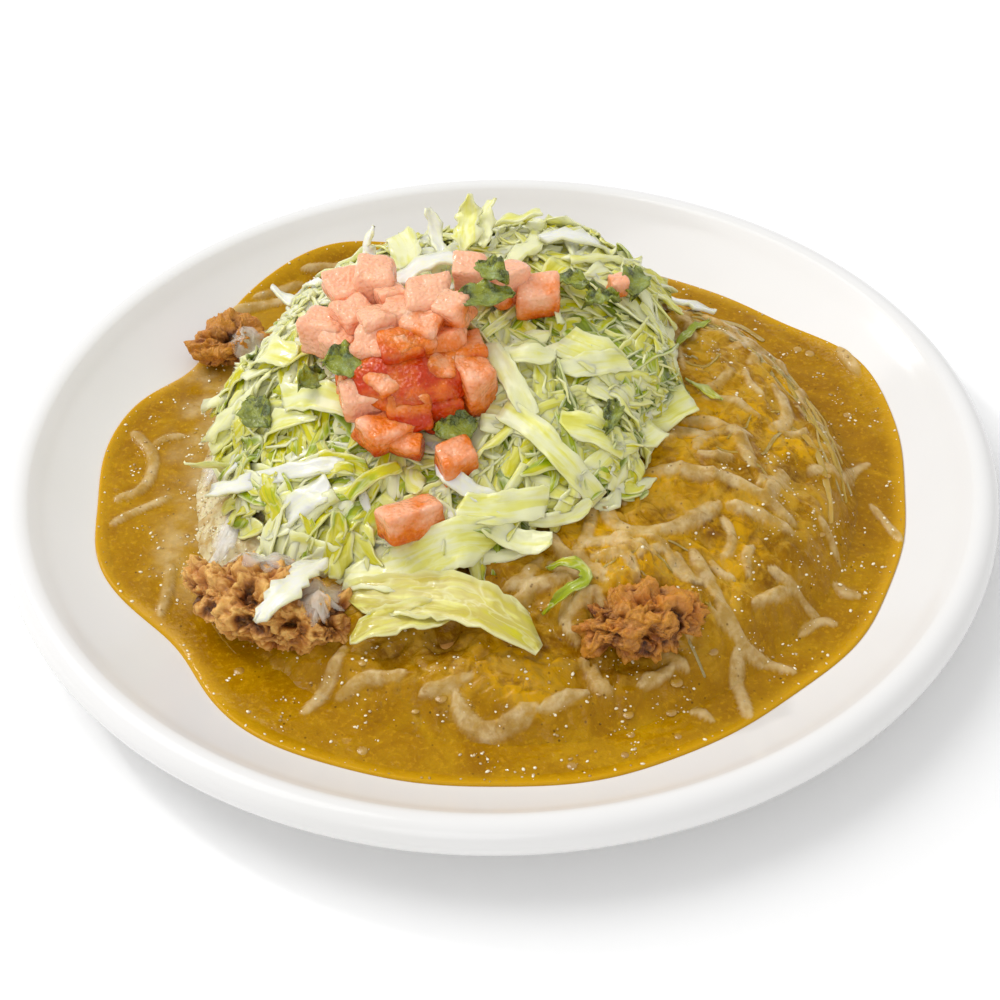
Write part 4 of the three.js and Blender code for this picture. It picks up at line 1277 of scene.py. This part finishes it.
class TACO_OT_plate(bpy.types.Operator):
    """Spin the white plate with its rolled lip and foot ring"""

    bl_idname = "taco.plate"
    bl_label = "Plate"

    def execute(self, context):
        settings = context.scene.taco_plate
        lip_centre = settings.radius / MM - LIP_RADIUS
        profile = [(radius, FLOOR_Z) for radius in FLOOR_RINGS]
        for step in range(WELL_STEPS + 1):
            radius = FLOOR_RADIUS + (WELL_RADIUS - FLOOR_RADIUS) * step / WELL_STEPS
            profile.append((radius, plate_height(radius)))
        for degrees in range(*LIP_ARC):
            profile.append(point_at((lip_centre, LIP_CENTRE_Z), math.radians(degrees), LIP_RADIUS))
        profile += UNDERSIDE
        profile += [
            (FOOT_OUTER_RADIUS + 1.2, FOOT_HEIGHT), (FOOT_OUTER_RADIUS + 0.4, 0.5),
            (FOOT_OUTER_RADIUS - 0.4, 0), (FOOT_INNER_RADIUS + 0.4, 0), (FOOT_INNER_RADIUS - 0.4, 0.5),
            (FOOT_INNER_RADIUS - 1, FOOT_HEIGHT), (40, FOOT_HEIGHT), (0, FOOT_HEIGHT),
        ]
        shape = spun(profile, settings.steps)
        finish_piece(shape, "plate_glazed", glaze_finish(settings), ["plate"])
        return {"FINISHED"}


class TACO_OT_gravy(bpy.types.Operator):
    """Pour the pool of gravy around the mound, with its beads and strands of cheese"""

    bl_idname = "taco.gravy"
    bl_label = "Gravy"

    def execute(self, context):
        settings = context.scene.taco_gravy
        self.pour_pool(settings, gravy_finish(settings, context.scene.taco_cheese))
        self.strew_beads(settings, bead_finish(settings))
        return {"FINISHED"}

    def pour_pool(self, settings, looks):
        """The ring of gravy; shares run from 1 at the bread to 2 at its outline."""
        rows = 64
        profile = [(1, 0), (1.4, 0), (1.75, 0), (2, 0)]
        profile += [(2 - (row / rows) ** 1.3, 1) for row in range(rows + 1)]
        shape = spun(profile, settings.steps, closed=True)
        rim_layer = shape.verts.layers.float.new("rim")

        def place(angle, share, side):
            inner = point_at(MOUND_CENTRE, angle, mound_edge(angle) - BREAD_INSET + GAP)
            outer = point_at((0, 0), angle, gravy_edge(angle))
            x = inner[0] + (outer[0] - inner[0]) * (share - 1)
            y = inner[1] + (outer[1] - inner[1]) * (share - 1)
            if side < 0.5:
                return x, y, plate_height(math.hypot(x, y)) - GRAVY_SINK
            return x, y, gravy_top(x, y)

        placed(shape, place)
        strand_layer = shape.verts.layers.float.new("strand")
        strands = Strands([strand for strand in ALL_STRANDS if strand[0] >= FIBRE_WIDTH])
        for vertex in shape.verts:
            x, y, _ = vertex.co
            inside = gravy_edge(math.atan2(y, x)) - math.hypot(x, y)
            vertex[rim_layer] = (1 - eased(inside, 0.0, 5.5)) * 0.9
            rise, cover = strands.at(x, y)
            vertex[strand_layer] = max(cover, milkiness(x, y))
            if vertex.co.z > plate_height(math.hypot(x, y)):
                vertex.co.z += rise
        finish_piece(shape, "gravy_pool", looks, ["sauce"])

    def strew_beads(self, settings, looks):
        """Small glossy beads along the strands, in clusters and along the edge, and larger bubbles."""
        draw = random.Random(settings.seed)
        shape = bmesh.new()
        for width, points in ALL_STRANDS:
            route = flat_route(points, 4)
            for step in range(round(route.length / BEAD_SPACING)):
                spot, _ = route.at((step + draw.random()) * BEAD_SPACING / route.length)
                if draw.random() < 0.5:
                    lift = 0.25 * width if width >= FIBRE_WIDTH else 0
                    self.drop_bead(shape, spot.x, spot.y + 0.1 * width, draw, lift)
        for _ in range(BAND_BEADS):
            self.drop_bead(shape, draw.gauss(-86, 5), draw.uniform(-44, 66), draw, 0.3)
        for _ in range(settings.beads):
            angle = draw.uniform(0, 2 * math.pi)
            inside = draw.uniform(4, 36)
            centre = point_at((0, 0), angle, gravy_edge(angle) - inside)
            for _ in range(draw.randint(1, 7)):
                self.drop_bead(shape, centre[0] + draw.gauss(0, 1.5), centre[1] + draw.gauss(0, 1.2), draw)
        for step in range(EDGE_BEADS):
            angle = 2 * math.pi * (step + draw.uniform(-0.5, 0.5)) / EDGE_BEADS
            x, y = point_at((0, 0), angle, gravy_edge(angle) - draw.uniform(0.9, 2.2))
            self.drop_bead(shape, x, y, draw)
        for _ in range(MOUND_BEADS):
            x, y = point_at(MOUND_CENTRE, draw.uniform(-2.2, 1.0), MOUND_RADIUS * draw.uniform(0.6, 0.98))
            for _ in range(draw.randint(1, 5)):
                self.drop_bead(shape, x + draw.gauss(0, 1.8), y + draw.gauss(0, 1.8), draw)
        for _ in range(settings.bubbles):
            angle = draw.uniform(-2.6, 0.7)
            x, y = point_at((0, 0), angle, gravy_edge(angle) - draw.uniform(6, 30))
            size = draw.uniform(0.9, 1.8)
            self.drop_ball(shape, size, (1, 1, 0.3), 0, (x, y, ground_top(x, y) - 0.1), BUBBLE_TINT, 3)
        finish_piece(shape, "gravy_beads", looks)

    def drop_bead(self, shape, x, y, draw, lift=0.0):
        size = 0.14 + 0.4 * draw.random() ** 2
        stretch = (draw.uniform(1, 1.7), 1, 0.6)
        turn = draw.uniform(0, math.pi)
        place = (x, y, ground_top(x, y) + 0.05 + lift)
        # Each bead takes a share of the cream of painted glints
        self.drop_ball(shape, size, stretch, turn, place, draw.choice(BEAD_GLINT_TINTS), 1)

    def drop_ball(self, shape, size, stretch, turn, place, tint, subdivisions):
        """A ball of one tint, stretched, turned about Z and set down at a place."""
        ball = bmesh.new()
        tint_layer = ball.verts.layers.float.new("tint")
        bmesh.ops.create_icosphere(ball, subdivisions=subdivisions, radius=size)
        bmesh.ops.scale(ball, vec=stretch, verts=ball.verts)
        bmesh.ops.rotate(ball, matrix=Matrix.Rotation(turn, 3, "Z"), verts=ball.verts)
        bmesh.ops.translate(ball, vec=place, verts=ball.verts)
        for vertex in ball.verts:
            vertex[tint_layer] = tint
        join(shape, ball)


class TACO_OT_frybread(bpy.types.Operator):
    """Shape the puffed round of fried dough under the cheese"""

    bl_idname = "taco.frybread"
    bl_label = "Frybread"

    def execute(self, context):
        rows = 24
        profile = [(0, 0), (0.5, 0), (0.9, 0), (1, 0), (1.003, 0.5), (1, 1)]
        profile += [(1 - row / rows, 1) for row in range(1, rows + 1)]
        shape = spun(profile, 180)

        def place(angle, share, side):
            x, y = point_at(MOUND_CENTRE, angle, (mound_edge(angle) - BREAD_INSET) * share)
            low = plate_height(math.hypot(x, y)) + GAP
            high = bread_top(x, y) - 0.3 + 0.3 * waves(x, y, 8)
            return x, y, low + (high - low) * side

        placed(shape, place)
        finish_piece(shape, "frybread_round", bread_finish(), ["frybread"])
        return {"FINISHED"}


class TACO_OT_cheese(bpy.types.Operator):
    """Drape the melted cheese over the frybread and lay its strands"""

    bl_idname = "taco.cheese"
    bl_label = "Cheese"

    def execute(self, context):
        settings = context.scene.taco_cheese
        self.drape(settings, context.scene.taco_gravy)
        self.lay_fibres(settings)
        return {"FINISHED"}

    def drape(self, settings, gravy):
        """The blanket: over the bread, past its shoulder into the gravy, and its upper face."""
        on_bread, upper, shoulder, sunk = range(4)
        rows, crown_rows = 104, 12
        under = [(share, on_bread) for share in (0, 0.6, 0.9)]
        under += [(0.93, shoulder), (0.95, sunk), (RIM_SHARE, sunk)]
        top = [(RIM_SHARE - (RIM_SHARE - CROWN_SHARE) * row / rows, upper) for row in range(rows)]
        top += [(CROWN_SHARE * (1 - row / crown_rows), upper) for row in range(crown_rows + 1)]
        shape = spun(under + top, settings.steps)
        layers = {name: shape.verts.layers.float.new(name) for name in CHEESE_LAYERS}
        tops = [vertex for vertex in shape.verts if round(vertex.co.z) == upper]

        def place(angle, share, face):
            x, y = point_at(MOUND_CENTRE, angle, mound_edge(angle) * share)
            if round(face) == upper:
                return x, y, cheese_top(x, y)
            if round(face) == sunk:
                return x, y, gravy_level(x, y) - 2
            gap = GAP if round(face) == on_bread else 0
            return x, y, bread_top(x, y) + gap

        placed(shape, place)
        strands = Strands(self.broad_strands(settings))
        for vertex in tops:
            x, y, _ = vertex.co
            rise, cover = strands.at(x, y)
            vertex[layers["strand"]] = cover
            if cover > 0:
                vertex.co.z = cheese_top(x, y, 0.9 * cover) + rise
            _, share = place_in(MOUND_CENTRE, mound_edge, x, y)
            vertex[layers["rim"]] = eased(share + 0.06 * waves(x, y, 9, 33.0), 0.84, 0.97)
            # Brown in random patches, and painted shade in the dents
            hollow = eased(waves(x, y, 11, 90.0), 0.15, 0.5) * 0.6
            vertex[layers["hollow"]] = max(hollow, dent(x, y)[1] * 0.9)
            side = eased(-x, 48, 66) * (1 - eased(share, 0.97, 1.04)) * eased(y, -70, -40)
            vertex[layers["pale"]] = clamped(side * (0.95 + 0.6 * waves(x, y, 9, 99.0)))
            golden = max(bell(math.hypot(x - px, y - py), width) for px, py, width in YELLOW_PATCHES)
            vertex[layers["golden"]] = clamped(golden * 1.6 + 0.7 * waves(x, y, 14, 44.0) + 0.1)
        looks = cheese_finish(settings, gravy)
        finish_piece(shape, "cheese_blanket", looks, ["melted_cheese"])

    def broad_strands(self, settings):
        """The strands placed one by one, and short ones strewn over the right and the front."""
        draw = random.Random(settings.seed)
        strands = [(width * 1.15, points) for width, points in ALL_STRANDS if width >= FIBRE_WIDTH]
        for _ in range(settings.strands):
            angle = draw.uniform(-1.5, 0.9)
            x, y = point_at(MOUND_CENTRE, angle, MOUND_RADIUS * draw.uniform(0.55, 0.96))
            strands.append((draw.uniform(2.2, 4.6), self.stray(x, y, angle + draw.gauss(0.6, 0.7), draw)))
        return strands

    def stray(self, x, y, heading, draw):
        """A short bent route about a place."""
        bend = draw.uniform(-0.9, 0.9)
        length = draw.uniform(7, 22)
        return [bent_point(x, y, length, heading, bend, t) for t in (-0.5, -0.25, 0, 0.25, 0.5)]

    def lay_fibres(self, settings):
        """Thin strings pulled over the mound and along its far ridge."""
        draw = random.Random(settings.seed + 1)
        shape = bmesh.new()
        fibres = [(width, points) for width, points in ALL_STRANDS if width < FIBRE_WIDTH]
        for _ in range(settings.fibres):
            first = draw.randint(0, 3)
            side = draw.gauss(0, 3.2)
            points = []
            for x, y in RIDGE[first:first + draw.randint(3, 4)]:
                points.append((x + side + draw.gauss(0, 1.4), y + 0.6 * side + draw.gauss(0, 1.4)))
            fibres.append((draw.uniform(0.7, 1.5), points))
            angle = draw.uniform(-1.5, 0.7)
            x, y = point_at(MOUND_CENTRE, angle, MOUND_RADIUS * draw.uniform(0.6, 0.95))
            fibres.append((draw.uniform(0.6, 1.3), self.stray(x, y, angle + draw.gauss(0.6, 0.9), draw)))
        for width, points in fibres:
            spots = flat_route(points, 3).points
            laid = [(spot.x, spot.y, ground_top(spot.x, spot.y) + 0.15 * width) for spot in spots]
            lay_strand(shape, laid, width, draw, draw.uniform(0.2, 0.8))
        finish_piece(shape, "cheese_fibres", strand_finish(settings))


class TACO_OT_beef(bpy.types.Operator):
    """Break out the crumbles of browned beef"""

    bl_idname = "taco.beef"
    bl_label = "Beef"

    def execute(self, context):
        settings = context.scene.taco_beef
        noise.seed_set(BEEF_SEED)
        fried = beef_finish(settings, "fried_beef", settings.crust)
        wet = beef_finish(settings, "wet_beef", settings.wet_crust)
        for index, crumble in enumerate(BEEF_CRUMBLES):
            shape = bmesh.new()
            cut_crumble(shape, crumble, settings.fineness)
            looks = fried if index == 0 else wet
            node = f"beef_crumble_{index + 1}"
            finish_piece(shape, f"beef_browned_{index + 1}", looks, [node])
        return {"FINISHED"}


class TACO_OT_films(bpy.types.Operator):
    """Drape films of melted cheese over the beef and beside the lettuce"""

    bl_idname = "taco.films"
    bl_label = "Cheese films"

    def execute(self, context):
        view = context.evaluated_depsgraph_get()
        names = ["cheese_blanket", "gravy_pool"] + [f"beef_browned_{n}" for n in (1, 2, 3)]
        trees = [BVHTree.FromObject(context.scene.objects[name], view) for name in names]
        shape = layered("tint", "span")
        for index, film in enumerate(FILMS):
            self.drape(shape, film, trees, index * 7.3)
        finish_piece(shape, "cheese_films", film_finish(context.scene.taco_cheese))
        return {"FINISHED"}

    def height(self, trees, x, y):
        """Top of the food at a place, raised towards the highest that lies beside it."""
        tops = []
        for way_x, way_y in ((0, 0), (1, 0), (-1, 0), (0, 1), (0, -1)):
            start = Vector((x + FILM_BRIDGE * way_x, y + FILM_BRIDGE * way_y, FILM_START)) * MM
            hits = [tree.ray_cast(start, Vector((0, 0, -1)))[0] for tree in trees]
            tops.append(max(hit.z / MM for hit in hits if hit is not None))
        return (max(tops) + tops[0]) / 2

    def drape(self, shape, film, trees, seed):
        """One film: a ragged oval laid over the food, wrinkled, thin at its edge and smoothed."""
        film_x, film_y, radius_x, radius_y, turn, thickness, yellowness = film
        rows = 16
        profile = [(row / rows, 0) for row in range(rows)]
        profile += [(1 - row / rows, 1) for row in range(rows + 1)]
        sheet = spun(profile, 64)
        tint_layer = sheet.verts.layers.float.new("tint")
        span_layer = sheet.verts.layers.float.new("span")
        way = Matrix.Rotation(math.radians(turn), 2)
        for vertex in sheet.verts:
            share = math.hypot(vertex.co.x, vertex.co.y)
            upper = vertex.co.z > 0.5
            ragged = 1 + 0.9 * noise.noise(vertex.co.normalized() * 2.6 + Vector((seed, 0, 0)))
            spread = way @ Vector((vertex.co.x * radius_x, vertex.co.y * radius_y)) * ragged
            x, y = film_x + spread.x, film_y + spread.y
            wrinkle = (1 - abs(waves(x, y, 4, seed))) ** 4
            swell = thickness * (1 - share**3) * (0.6 + 1.6 * wrinkle)
            low = self.height(trees, x, y) - FILM_SINK
            vertex.co = (x, y, low + (swell + FILM_SINK if upper else 0))
            vertex[tint_layer] = yellowness
            vertex[span_layer] = share
        for _ in range(9):
            bmesh.ops.smooth_vert(sheet, verts=sheet.verts, factor=0.6, use_axis_z=True)
        join(shape, sheet)


class TACO_OT_lettuce(bpy.types.Operator):
    """Heap the shredded lettuce: its core, and pale, green and white shreds"""

    bl_idname = "taco.lettuce"
    bl_label = "Lettuce"

    def execute(self, context):
        settings = context.scene.taco_lettuce
        tones = {
            "pale": [(0.0, settings.rib), (0.4, settings.pale), (0.9, settings.yellow)],
            "green": [(0.05, settings.yellow), (0.45, settings.green), (0.95, settings.shade)],
            "olive": [(0.0, settings.pale), (0.4, settings.olive), (0.95, settings.yellow)],
            "white": [(0.2, settings.white), (0.9, settings.rib)],
        }
        self.heap_core(settings)
        shapes = {kind: leaf_shape() for kind in tones}
        draw = random.Random(settings.seed)
        self.strew(shapes, settings, draw)
        self.hang_shreds(shapes, settings, draw)
        self.lay_long_strips(shapes, draw)
        for kind, shape in shapes.items():
            thickness = settings.thickness / MM * (1.6 if kind == "white" else 1)
            bmesh.ops.recalc_face_normals(shape, faces=shape.faces)
            bmesh.ops.solidify(shape, geom=shape.faces[:], thickness=thickness)
            looks = leaf_finish(f"lettuce_{kind}", settings, tones[kind])
            finish_piece(shape, f"lettuce_{kind}_shreds", looks)
        return {"FINISHED"}

    def heap_core(self, settings):
        """The middle of the bed, which shows only between shreds."""
        rows = 40
        profile = [(0, 0), (0.5, 0), (CORE_SHARE, 0)]
        profile += [(CORE_SHARE * (1 - row / rows), 1) for row in range(rows + 1)]
        shape = spun(profile, 200)
        tint_layer = shape.verts.layers.float.new("tint")

        def place(angle, share, side):
            x, y = point_at(BED_CENTRE, angle, bed_edge(angle) * share)
            low = mound_form(x, y) + 0.5
            if side < 0.5:
                return x, y, low
            rough = 1.8 * waves(x, y, 6, 11.0) + 0.8 * waves(x, y, 2.5, 15.0)
            return x, y, max(low + 0.6, bed_top(x, y, 1.03) - CORE_DEPTH + rough)

        placed(shape, place)
        for vertex in shape.verts:
            vertex[tint_layer] = 0.6 + 0.35 * waves(vertex.co.x, vertex.co.y, 5, 2.0)
        tones = [(0.1, settings.yellow), (0.9, settings.green)]
        looks = leaf_finish("lettuce_deep", settings, tones, weight=0.2)
        finish_piece(shape, "lettuce_core", looks, ["lettuce"])

    def strew(self, shapes, settings, draw):
        """Shreds spread evenly over the bed by a golden spiral, each laid over the form below."""
        golden = math.pi * (3 - math.sqrt(5))
        for index in range(settings.shreds):
            around = index * golden
            share = math.sqrt((index + 0.5) / settings.shreds)
            x, y = point_at(BED_CENTRE, around, bed_edge(around) * share * 0.99)
            x += draw.gauss(0, 2)
            y += draw.gauss(0, 2)
            ribbon = draw.random() < eased(x * 0.8 - y * 0.35, -22, 18) * 0.8 + 0.12
            outward = math.atan2(y - BED_CENTRE[1], x - BED_CENTRE[0])
            lush = lushness(x, y)
            if ribbon:
                kind = draw.choices(LEAF_KINDS, (0.72, 0.22 + lush, 0.06))[0]
                length, width = draw.uniform(16, 42), draw.uniform(2.6, 7.2)
                heading = draw.gauss(outward, 0.9) if share > 0.5 else draw.gauss(-0.9, 1.0)
                taper, ragged = draw.uniform(0.75, 1.0), 0.08
            else:
                kind = draw.choices(LEAF_KINDS, (0.56, 0.26 + lush, 0.18))[0]
                length, width = draw.uniform(11, 32), draw.uniform(2.2, 7)
                heading = draw.gauss(outward, 1.0) if share > 0.85 else draw.uniform(0, math.pi)
                taper, ragged = draw.uniform(0.6, 1.0), 0.2
            level = draw.uniform(-4.0, -0.4) if kind == "green" else draw.uniform(-3.8, 0.4)
            level += 1.8 * waves(x, y, 16, 3.3) + (1.6 * max(lush, 0) if kind == "green" else 0)
            bend = draw.uniform(-0.8, 0.8)
            tilt = draw.gauss(0, 1.3)
            x, y = self.kept_in(x, y, around, length, heading, bend)
            points = []
            for t in (-0.5, -0.17, 0.17, 0.5):
                spot_x, spot_y = bent_point(x, y, length, heading, bend, t)
                height = self.resting(x, y, spot_x, spot_y, abs(t) * length * 0.9) + level + tilt * t * 2
                height += 0.9 * waves(spot_x, spot_y, 6, index * 0.7)
                points.append((spot_x, spot_y, height))
            # Painted shade: shreds lying deeper in the bed are tinted towards the darker, more saturated
            # end of their tones, and those on top towards the paler end
            deep = 0.16 * (-1.4 - level)
            tint = draw.gauss(0.46 + 0.006 * x - 0.002 * y, 0.22) + deep
            tint = clamped(tint + (0.35 if kind == "white" else 0))
            lay_strip(
                shapes[kind], points, width, draw, tint, rows=10, cup=draw.uniform(-0.2, 0.25),
                ruffle=draw.uniform(0.2, 1.0), twist=draw.gauss(0, 1.0), taper=taper, ragged=ragged,
            )

    def kept_in(self, x, y, around, length, heading, bend):
        """The middle of a shred, drawn inward where an end would stand out past the bed."""
        limit = 0.98 if x > 0 and y < 25 else 1.08
        out = 0.0
        for t in (-0.5, 0.5):
            end = bent_point(x, y, length, heading, bend, t)
            angle, reach = place_in(BED_CENTRE, bed_edge, *end)
            out = max(out, (reach - limit) * bed_edge(angle))
        return x - out * math.cos(around), y - out * math.sin(around)

    def resting(self, x, y, spot_x, spot_y, reach):
        """Height that a shred about x, y rests at on another spot, no steeper than it can bend."""
        middle = bed_top(x, y, BED_OVERHANG)
        return clamped(bed_top(spot_x, spot_y, BED_OVERHANG), middle - reach, middle + reach)

    def hang_shreds(self, shapes, settings, draw):
        """Shreds that hang down the steep wall of the bed at its back and sides."""
        for index in range(settings.hanging):
            around = -0.75 + (math.pi + 1.3) * (index + draw.random()) / settings.hanging
            kind = draw.choices(LEAF_KINDS, (0.56, 0.34, 0.1))[0]
            start = draw.uniform(-0.1, 0.7)
            drop = draw.uniform(0.35, 0.6)
            lean = draw.gauss(0, 0.16)
            points = []
            for t in (0.0, 0.33, 0.67, 1.0):
                angle = around + lean * t
                down = clamped(start + drop * t)
                reach = bed_edge(angle)
                top_x, top_y = point_at(BED_CENTRE, angle, 0.86 * reach)
                x, y = point_at(BED_CENTRE, angle, reach * (0.87 + 0.16 * down**0.6))
                low = ground_top(x, y) + 0.8
                high = bed_top(top_x, top_y, BED_OVERHANG)
                points.append((x, y, high + (low - high) * down + 0.8 * waves(x, y, 6, index * 0.9)))
            tint = clamped(draw.gauss(0.5, 0.25) + (0.35 if kind == "white" else 0))
            taper, ragged = draw.uniform(0.6, 1.0), draw.choice((0.08, 0.22))
            lay_strip(
                shapes[kind], points, draw.uniform(3, 7.5), draw, tint, rows=10,
                cup=draw.uniform(-0.2, 0.25), ruffle=draw.uniform(0.2, 0.8), twist=draw.gauss(0, 0.6),
                taper=taper, ragged=ragged,
            )

    def lay_long_strips(self, shapes, draw):
        """The strips placed one by one; those that stand up narrow and fray towards their ends."""
        for kind, width, points in LONG_STRIPS:
            laid = [on_food(x, y, height + 0.6) for x, y, height in points]
            in_front = points[0][1] < -60
            tint = draw.uniform(0.3, 0.5) if in_front else draw.uniform(0.0, 0.35)
            taper, ragged = 0.9, 0.1
            if points[0][2] >= STANDING_HEIGHT:
                taper, ragged = 0.3, 0.35
            elif kind == "olive":
                taper = 0.6
            lay_strip(
                shapes[kind], laid, width, draw, tint, rows=20, cup=0.05 if kind == "white" else 0.12,
                ruffle=0.7, twist=0, taper=taper, ragged=ragged,
            )


class TACO_OT_tomato(bpy.types.Operator):
    """Heap the diced tomato and scatter the loose dice"""

    bl_idname = "taco.tomato"
    bl_label = "Tomato"

    def execute(self, context):
        settings = context.scene.taco_tomato
        looks = tomato_finish(settings)
        draw = random.Random(settings.seed)
        shape = bmesh.new()
        tint_layer = shape.verts.layers.float.new("tint")
        place, radii = TOMATO_CORE
        core = bmesh.ops.create_icosphere(shape, subdivisions=4, radius=1)["verts"]
        for vertex in core:
            way = vertex.co.copy()
            swell = 1 + 0.12 * noise.noise(way * 3)
            out = Vector((way.x * radii[0], way.y * radii[1], way.z * radii[2]))
            vertex.co = on_food(*place) + out * swell
            # The core's red is partly painted shade
            vertex[tint_layer] = 0.85
        for die in HEAP_DICE + FILLING_DICE:
            sides = (HEAP_DIE_GROWTH * side for side in die[3:6])
            lay_die(shape, (*die[:3], *sides, *die[6:]), draw, square=9.0, uneven=1.3)
        finish_piece(shape, "tomato_dice_heap", looks, ["tomato_heap"])
        for index, die in enumerate(LOOSE_DICE):
            shape = layered("tint")
            lay_die(shape, die, draw, square=11.0, uneven=0.8)
            finish_piece(shape, f"tomato_loose_{index + 1}", looks, [f"tomato_die_{index + 1}"])
        return {"FINISHED"}


class TACO_OT_greens(bpy.types.Operator):
    """Lay the dark leaves and the green slivers"""

    bl_idname = "taco.greens"
    bl_label = "Greens"

    def execute(self, context):
        settings = context.scene.taco_greens
        looks = green_finish(settings)
        draw = random.Random(settings.seed)
        for index, leaf in enumerate(GREEN_LEAVES):
            shape = layered("span")
            lay_leaf(shape, leaf, draw)
            bmesh.ops.remove_doubles(shape, verts=shape.verts, dist=0.02)
            bmesh.ops.solidify(shape, geom=shape.faces[:], thickness=0.5)
            finish_piece(shape, f"leaf_dark_{index + 1}", looks, [f"green_leaf_{index + 1}"])
        lettuce = context.scene.taco_lettuce
        tones = [(0.1, lettuce.yellow), (0.6, settings.sliver)]
        fresh = leaf_finish("sliver_green", lettuce, tones, weight=0.2, edges=0.1)
        for index, (width, points) in enumerate(GREEN_SLIVERS):
            shape = leaf_shape()
            laid = [(x, y, ground_top(x, y) + height) for x, y, height in points]
            lay_strip(
                shape, laid, width, draw, tint=0.6, rows=24, cup=0.2, ruffle=0.6, twist=0.5, taper=0.3,
                ragged=0.3,
            )
            bmesh.ops.solidify(shape, geom=shape.faces[:], thickness=0.6)
            finish_piece(shape, f"sliver_{index + 1}", fresh, [f"green_sliver_{index + 1}"])
        return {"FINISHED"}


class TACO_OT_stage(bpy.types.Operator):
    """Set the pale floor, the soft light and the camera"""

    bl_idname = "taco.stage"
    bl_label = "Stage"

    def execute(self, context):
        settings = context.scene.taco_stage
        self.lay_floor(context, settings)
        self.hang_lights(context, settings)
        self.set_camera(context, settings)
        context.scene.view_settings.view_transform = "Standard"
        context.scene.view_settings.look = "None"
        return {"FINISHED"}

    def lay_floor(self, context, settings):
        shape = bmesh.new()
        bmesh.ops.create_grid(shape, x_segments=1, y_segments=1, size=FLOOR_SIZE / 2)
        mesh = bpy.data.meshes.new("studio_floor")
        shape.to_mesh(mesh)
        shape.free()
        floor = bpy.data.objects.new("studio_floor", mesh)
        finish = Finish("floor_paper", roughness=0.9, specular=0.0)
        finish.shader.inputs["Base Color"].default_value = (*settings.floor, 1)
        mesh.materials.append(finish.material)
        context.scene.collection.objects.link(floor)

    def hang_lights(self, context, settings):
        """A white room, and the three soft lights at the powers of the settings."""
        world = bpy.data.worlds.new("studio_room")
        world.use_nodes = True
        background = world.node_tree.nodes["Background"]
        background.inputs["Strength"].default_value = settings.room
        background.inputs["Color"].default_value = (1, 1, 1, 1)
        context.scene.world = world
        for name, (place, width) in LIGHTS.items():
            data = bpy.data.lights.new(f"{name}_light", "AREA")
            data.shape = "DISK"
            data.size = width
            data.energy = getattr(settings, name)
            light = bpy.data.objects.new(f"{name}_light", data)
            light.location = place
            light.rotation_euler = (-Vector(place)).to_track_quat("-Z", "Y").to_euler()
            context.scene.collection.objects.link(light)

    def set_camera(self, context, settings):
        """The photo's camera, which looks along +Y and down, with a slight roll."""
        lift = math.radians(CAMERA_ELEVATION)
        roll = math.radians(CAMERA_ROLL)
        back = Vector((0, -math.cos(lift), math.sin(lift)))
        right = Vector((1, 0, 0))
        up = back.cross(right)
        camera_x = right * math.cos(roll) + up * math.sin(roll)
        camera_y = up * math.cos(roll) - right * math.sin(roll)
        data = bpy.data.cameras.new("camera")
        data.lens = settings.lens
        data.sensor_width = SENSOR_WIDTH
        camera = bpy.data.objects.new("camera", data)
        place = (Vector(CAMERA_AIM) + back * CAMERA_DISTANCE) * MM
        turned = Matrix((camera_x, camera_y, back)).transposed().to_4x4()
        camera.matrix_world = Matrix.Translation(place) @ turned
        context.scene.collection.objects.link(camera)
        context.scene.camera = camera


class TACO_PT_panel(bpy.types.Panel):
    """The pieces of the taco and their settings"""

    bl_label = "Frybread Taco"
    bl_idname = "TACO_PT_panel"
    bl_space_type = "VIEW_3D"
    bl_region_type = "UI"
    bl_category = "Taco"

    def draw(self, context):
        for operator, group in PIECES:
            self.layout.operator(operator.bl_idname)
            if group:
                for name in SETTINGS[group].__annotations__:
                    self.layout.prop(getattr(context.scene, group), name)


SETTINGS = {
    "taco_plate": PlateSettings,
    "taco_gravy": GravySettings,
    "taco_cheese": CheeseSettings,
    "taco_beef": BeefSettings,
    "taco_lettuce": LettuceSettings,
    "taco_tomato": TomatoSettings,
    "taco_greens": GreensSettings,
    "taco_stage": StageSettings,
}
PIECES = [
    (TACO_OT_plate, "taco_plate"),
    (TACO_OT_gravy, "taco_gravy"),
    (TACO_OT_frybread, None),
    (TACO_OT_cheese, "taco_cheese"),
    (TACO_OT_beef, "taco_beef"),
    (TACO_OT_films, None),
    (TACO_OT_lettuce, "taco_lettuce"),
    (TACO_OT_tomato, "taco_tomato"),
    (TACO_OT_greens, "taco_greens"),
    (TACO_OT_stage, "taco_stage"),
]


def register():
    for group, settings in SETTINGS.items():
        bpy.utils.register_class(settings)
        setattr(bpy.types.Scene, group, PointerProperty(type=settings))
    for operator, _ in PIECES:
        bpy.utils.register_class(operator)
    bpy.utils.register_class(TACO_PT_panel)


def unregister():
    bpy.utils.unregister_class(TACO_PT_panel)
    for operator, _ in reversed(PIECES):
        bpy.utils.unregister_class(operator)
    for group, settings in reversed(SETTINGS.items()):
        delattr(bpy.types.Scene, group)
        bpy.utils.unregister_class(settings)


def main():
    register()
    bpy.ops.taco.plate()
    bpy.ops.taco.gravy()
    bpy.ops.taco.frybread()
    bpy.ops.taco.cheese()
    bpy.ops.taco.beef()
    bpy.ops.taco.films()
    bpy.ops.taco.lettuce()
    bpy.ops.taco.tomato()
    bpy.ops.taco.greens()
    bpy.ops.taco.stage()


if __name__ == "__main__":
    main()
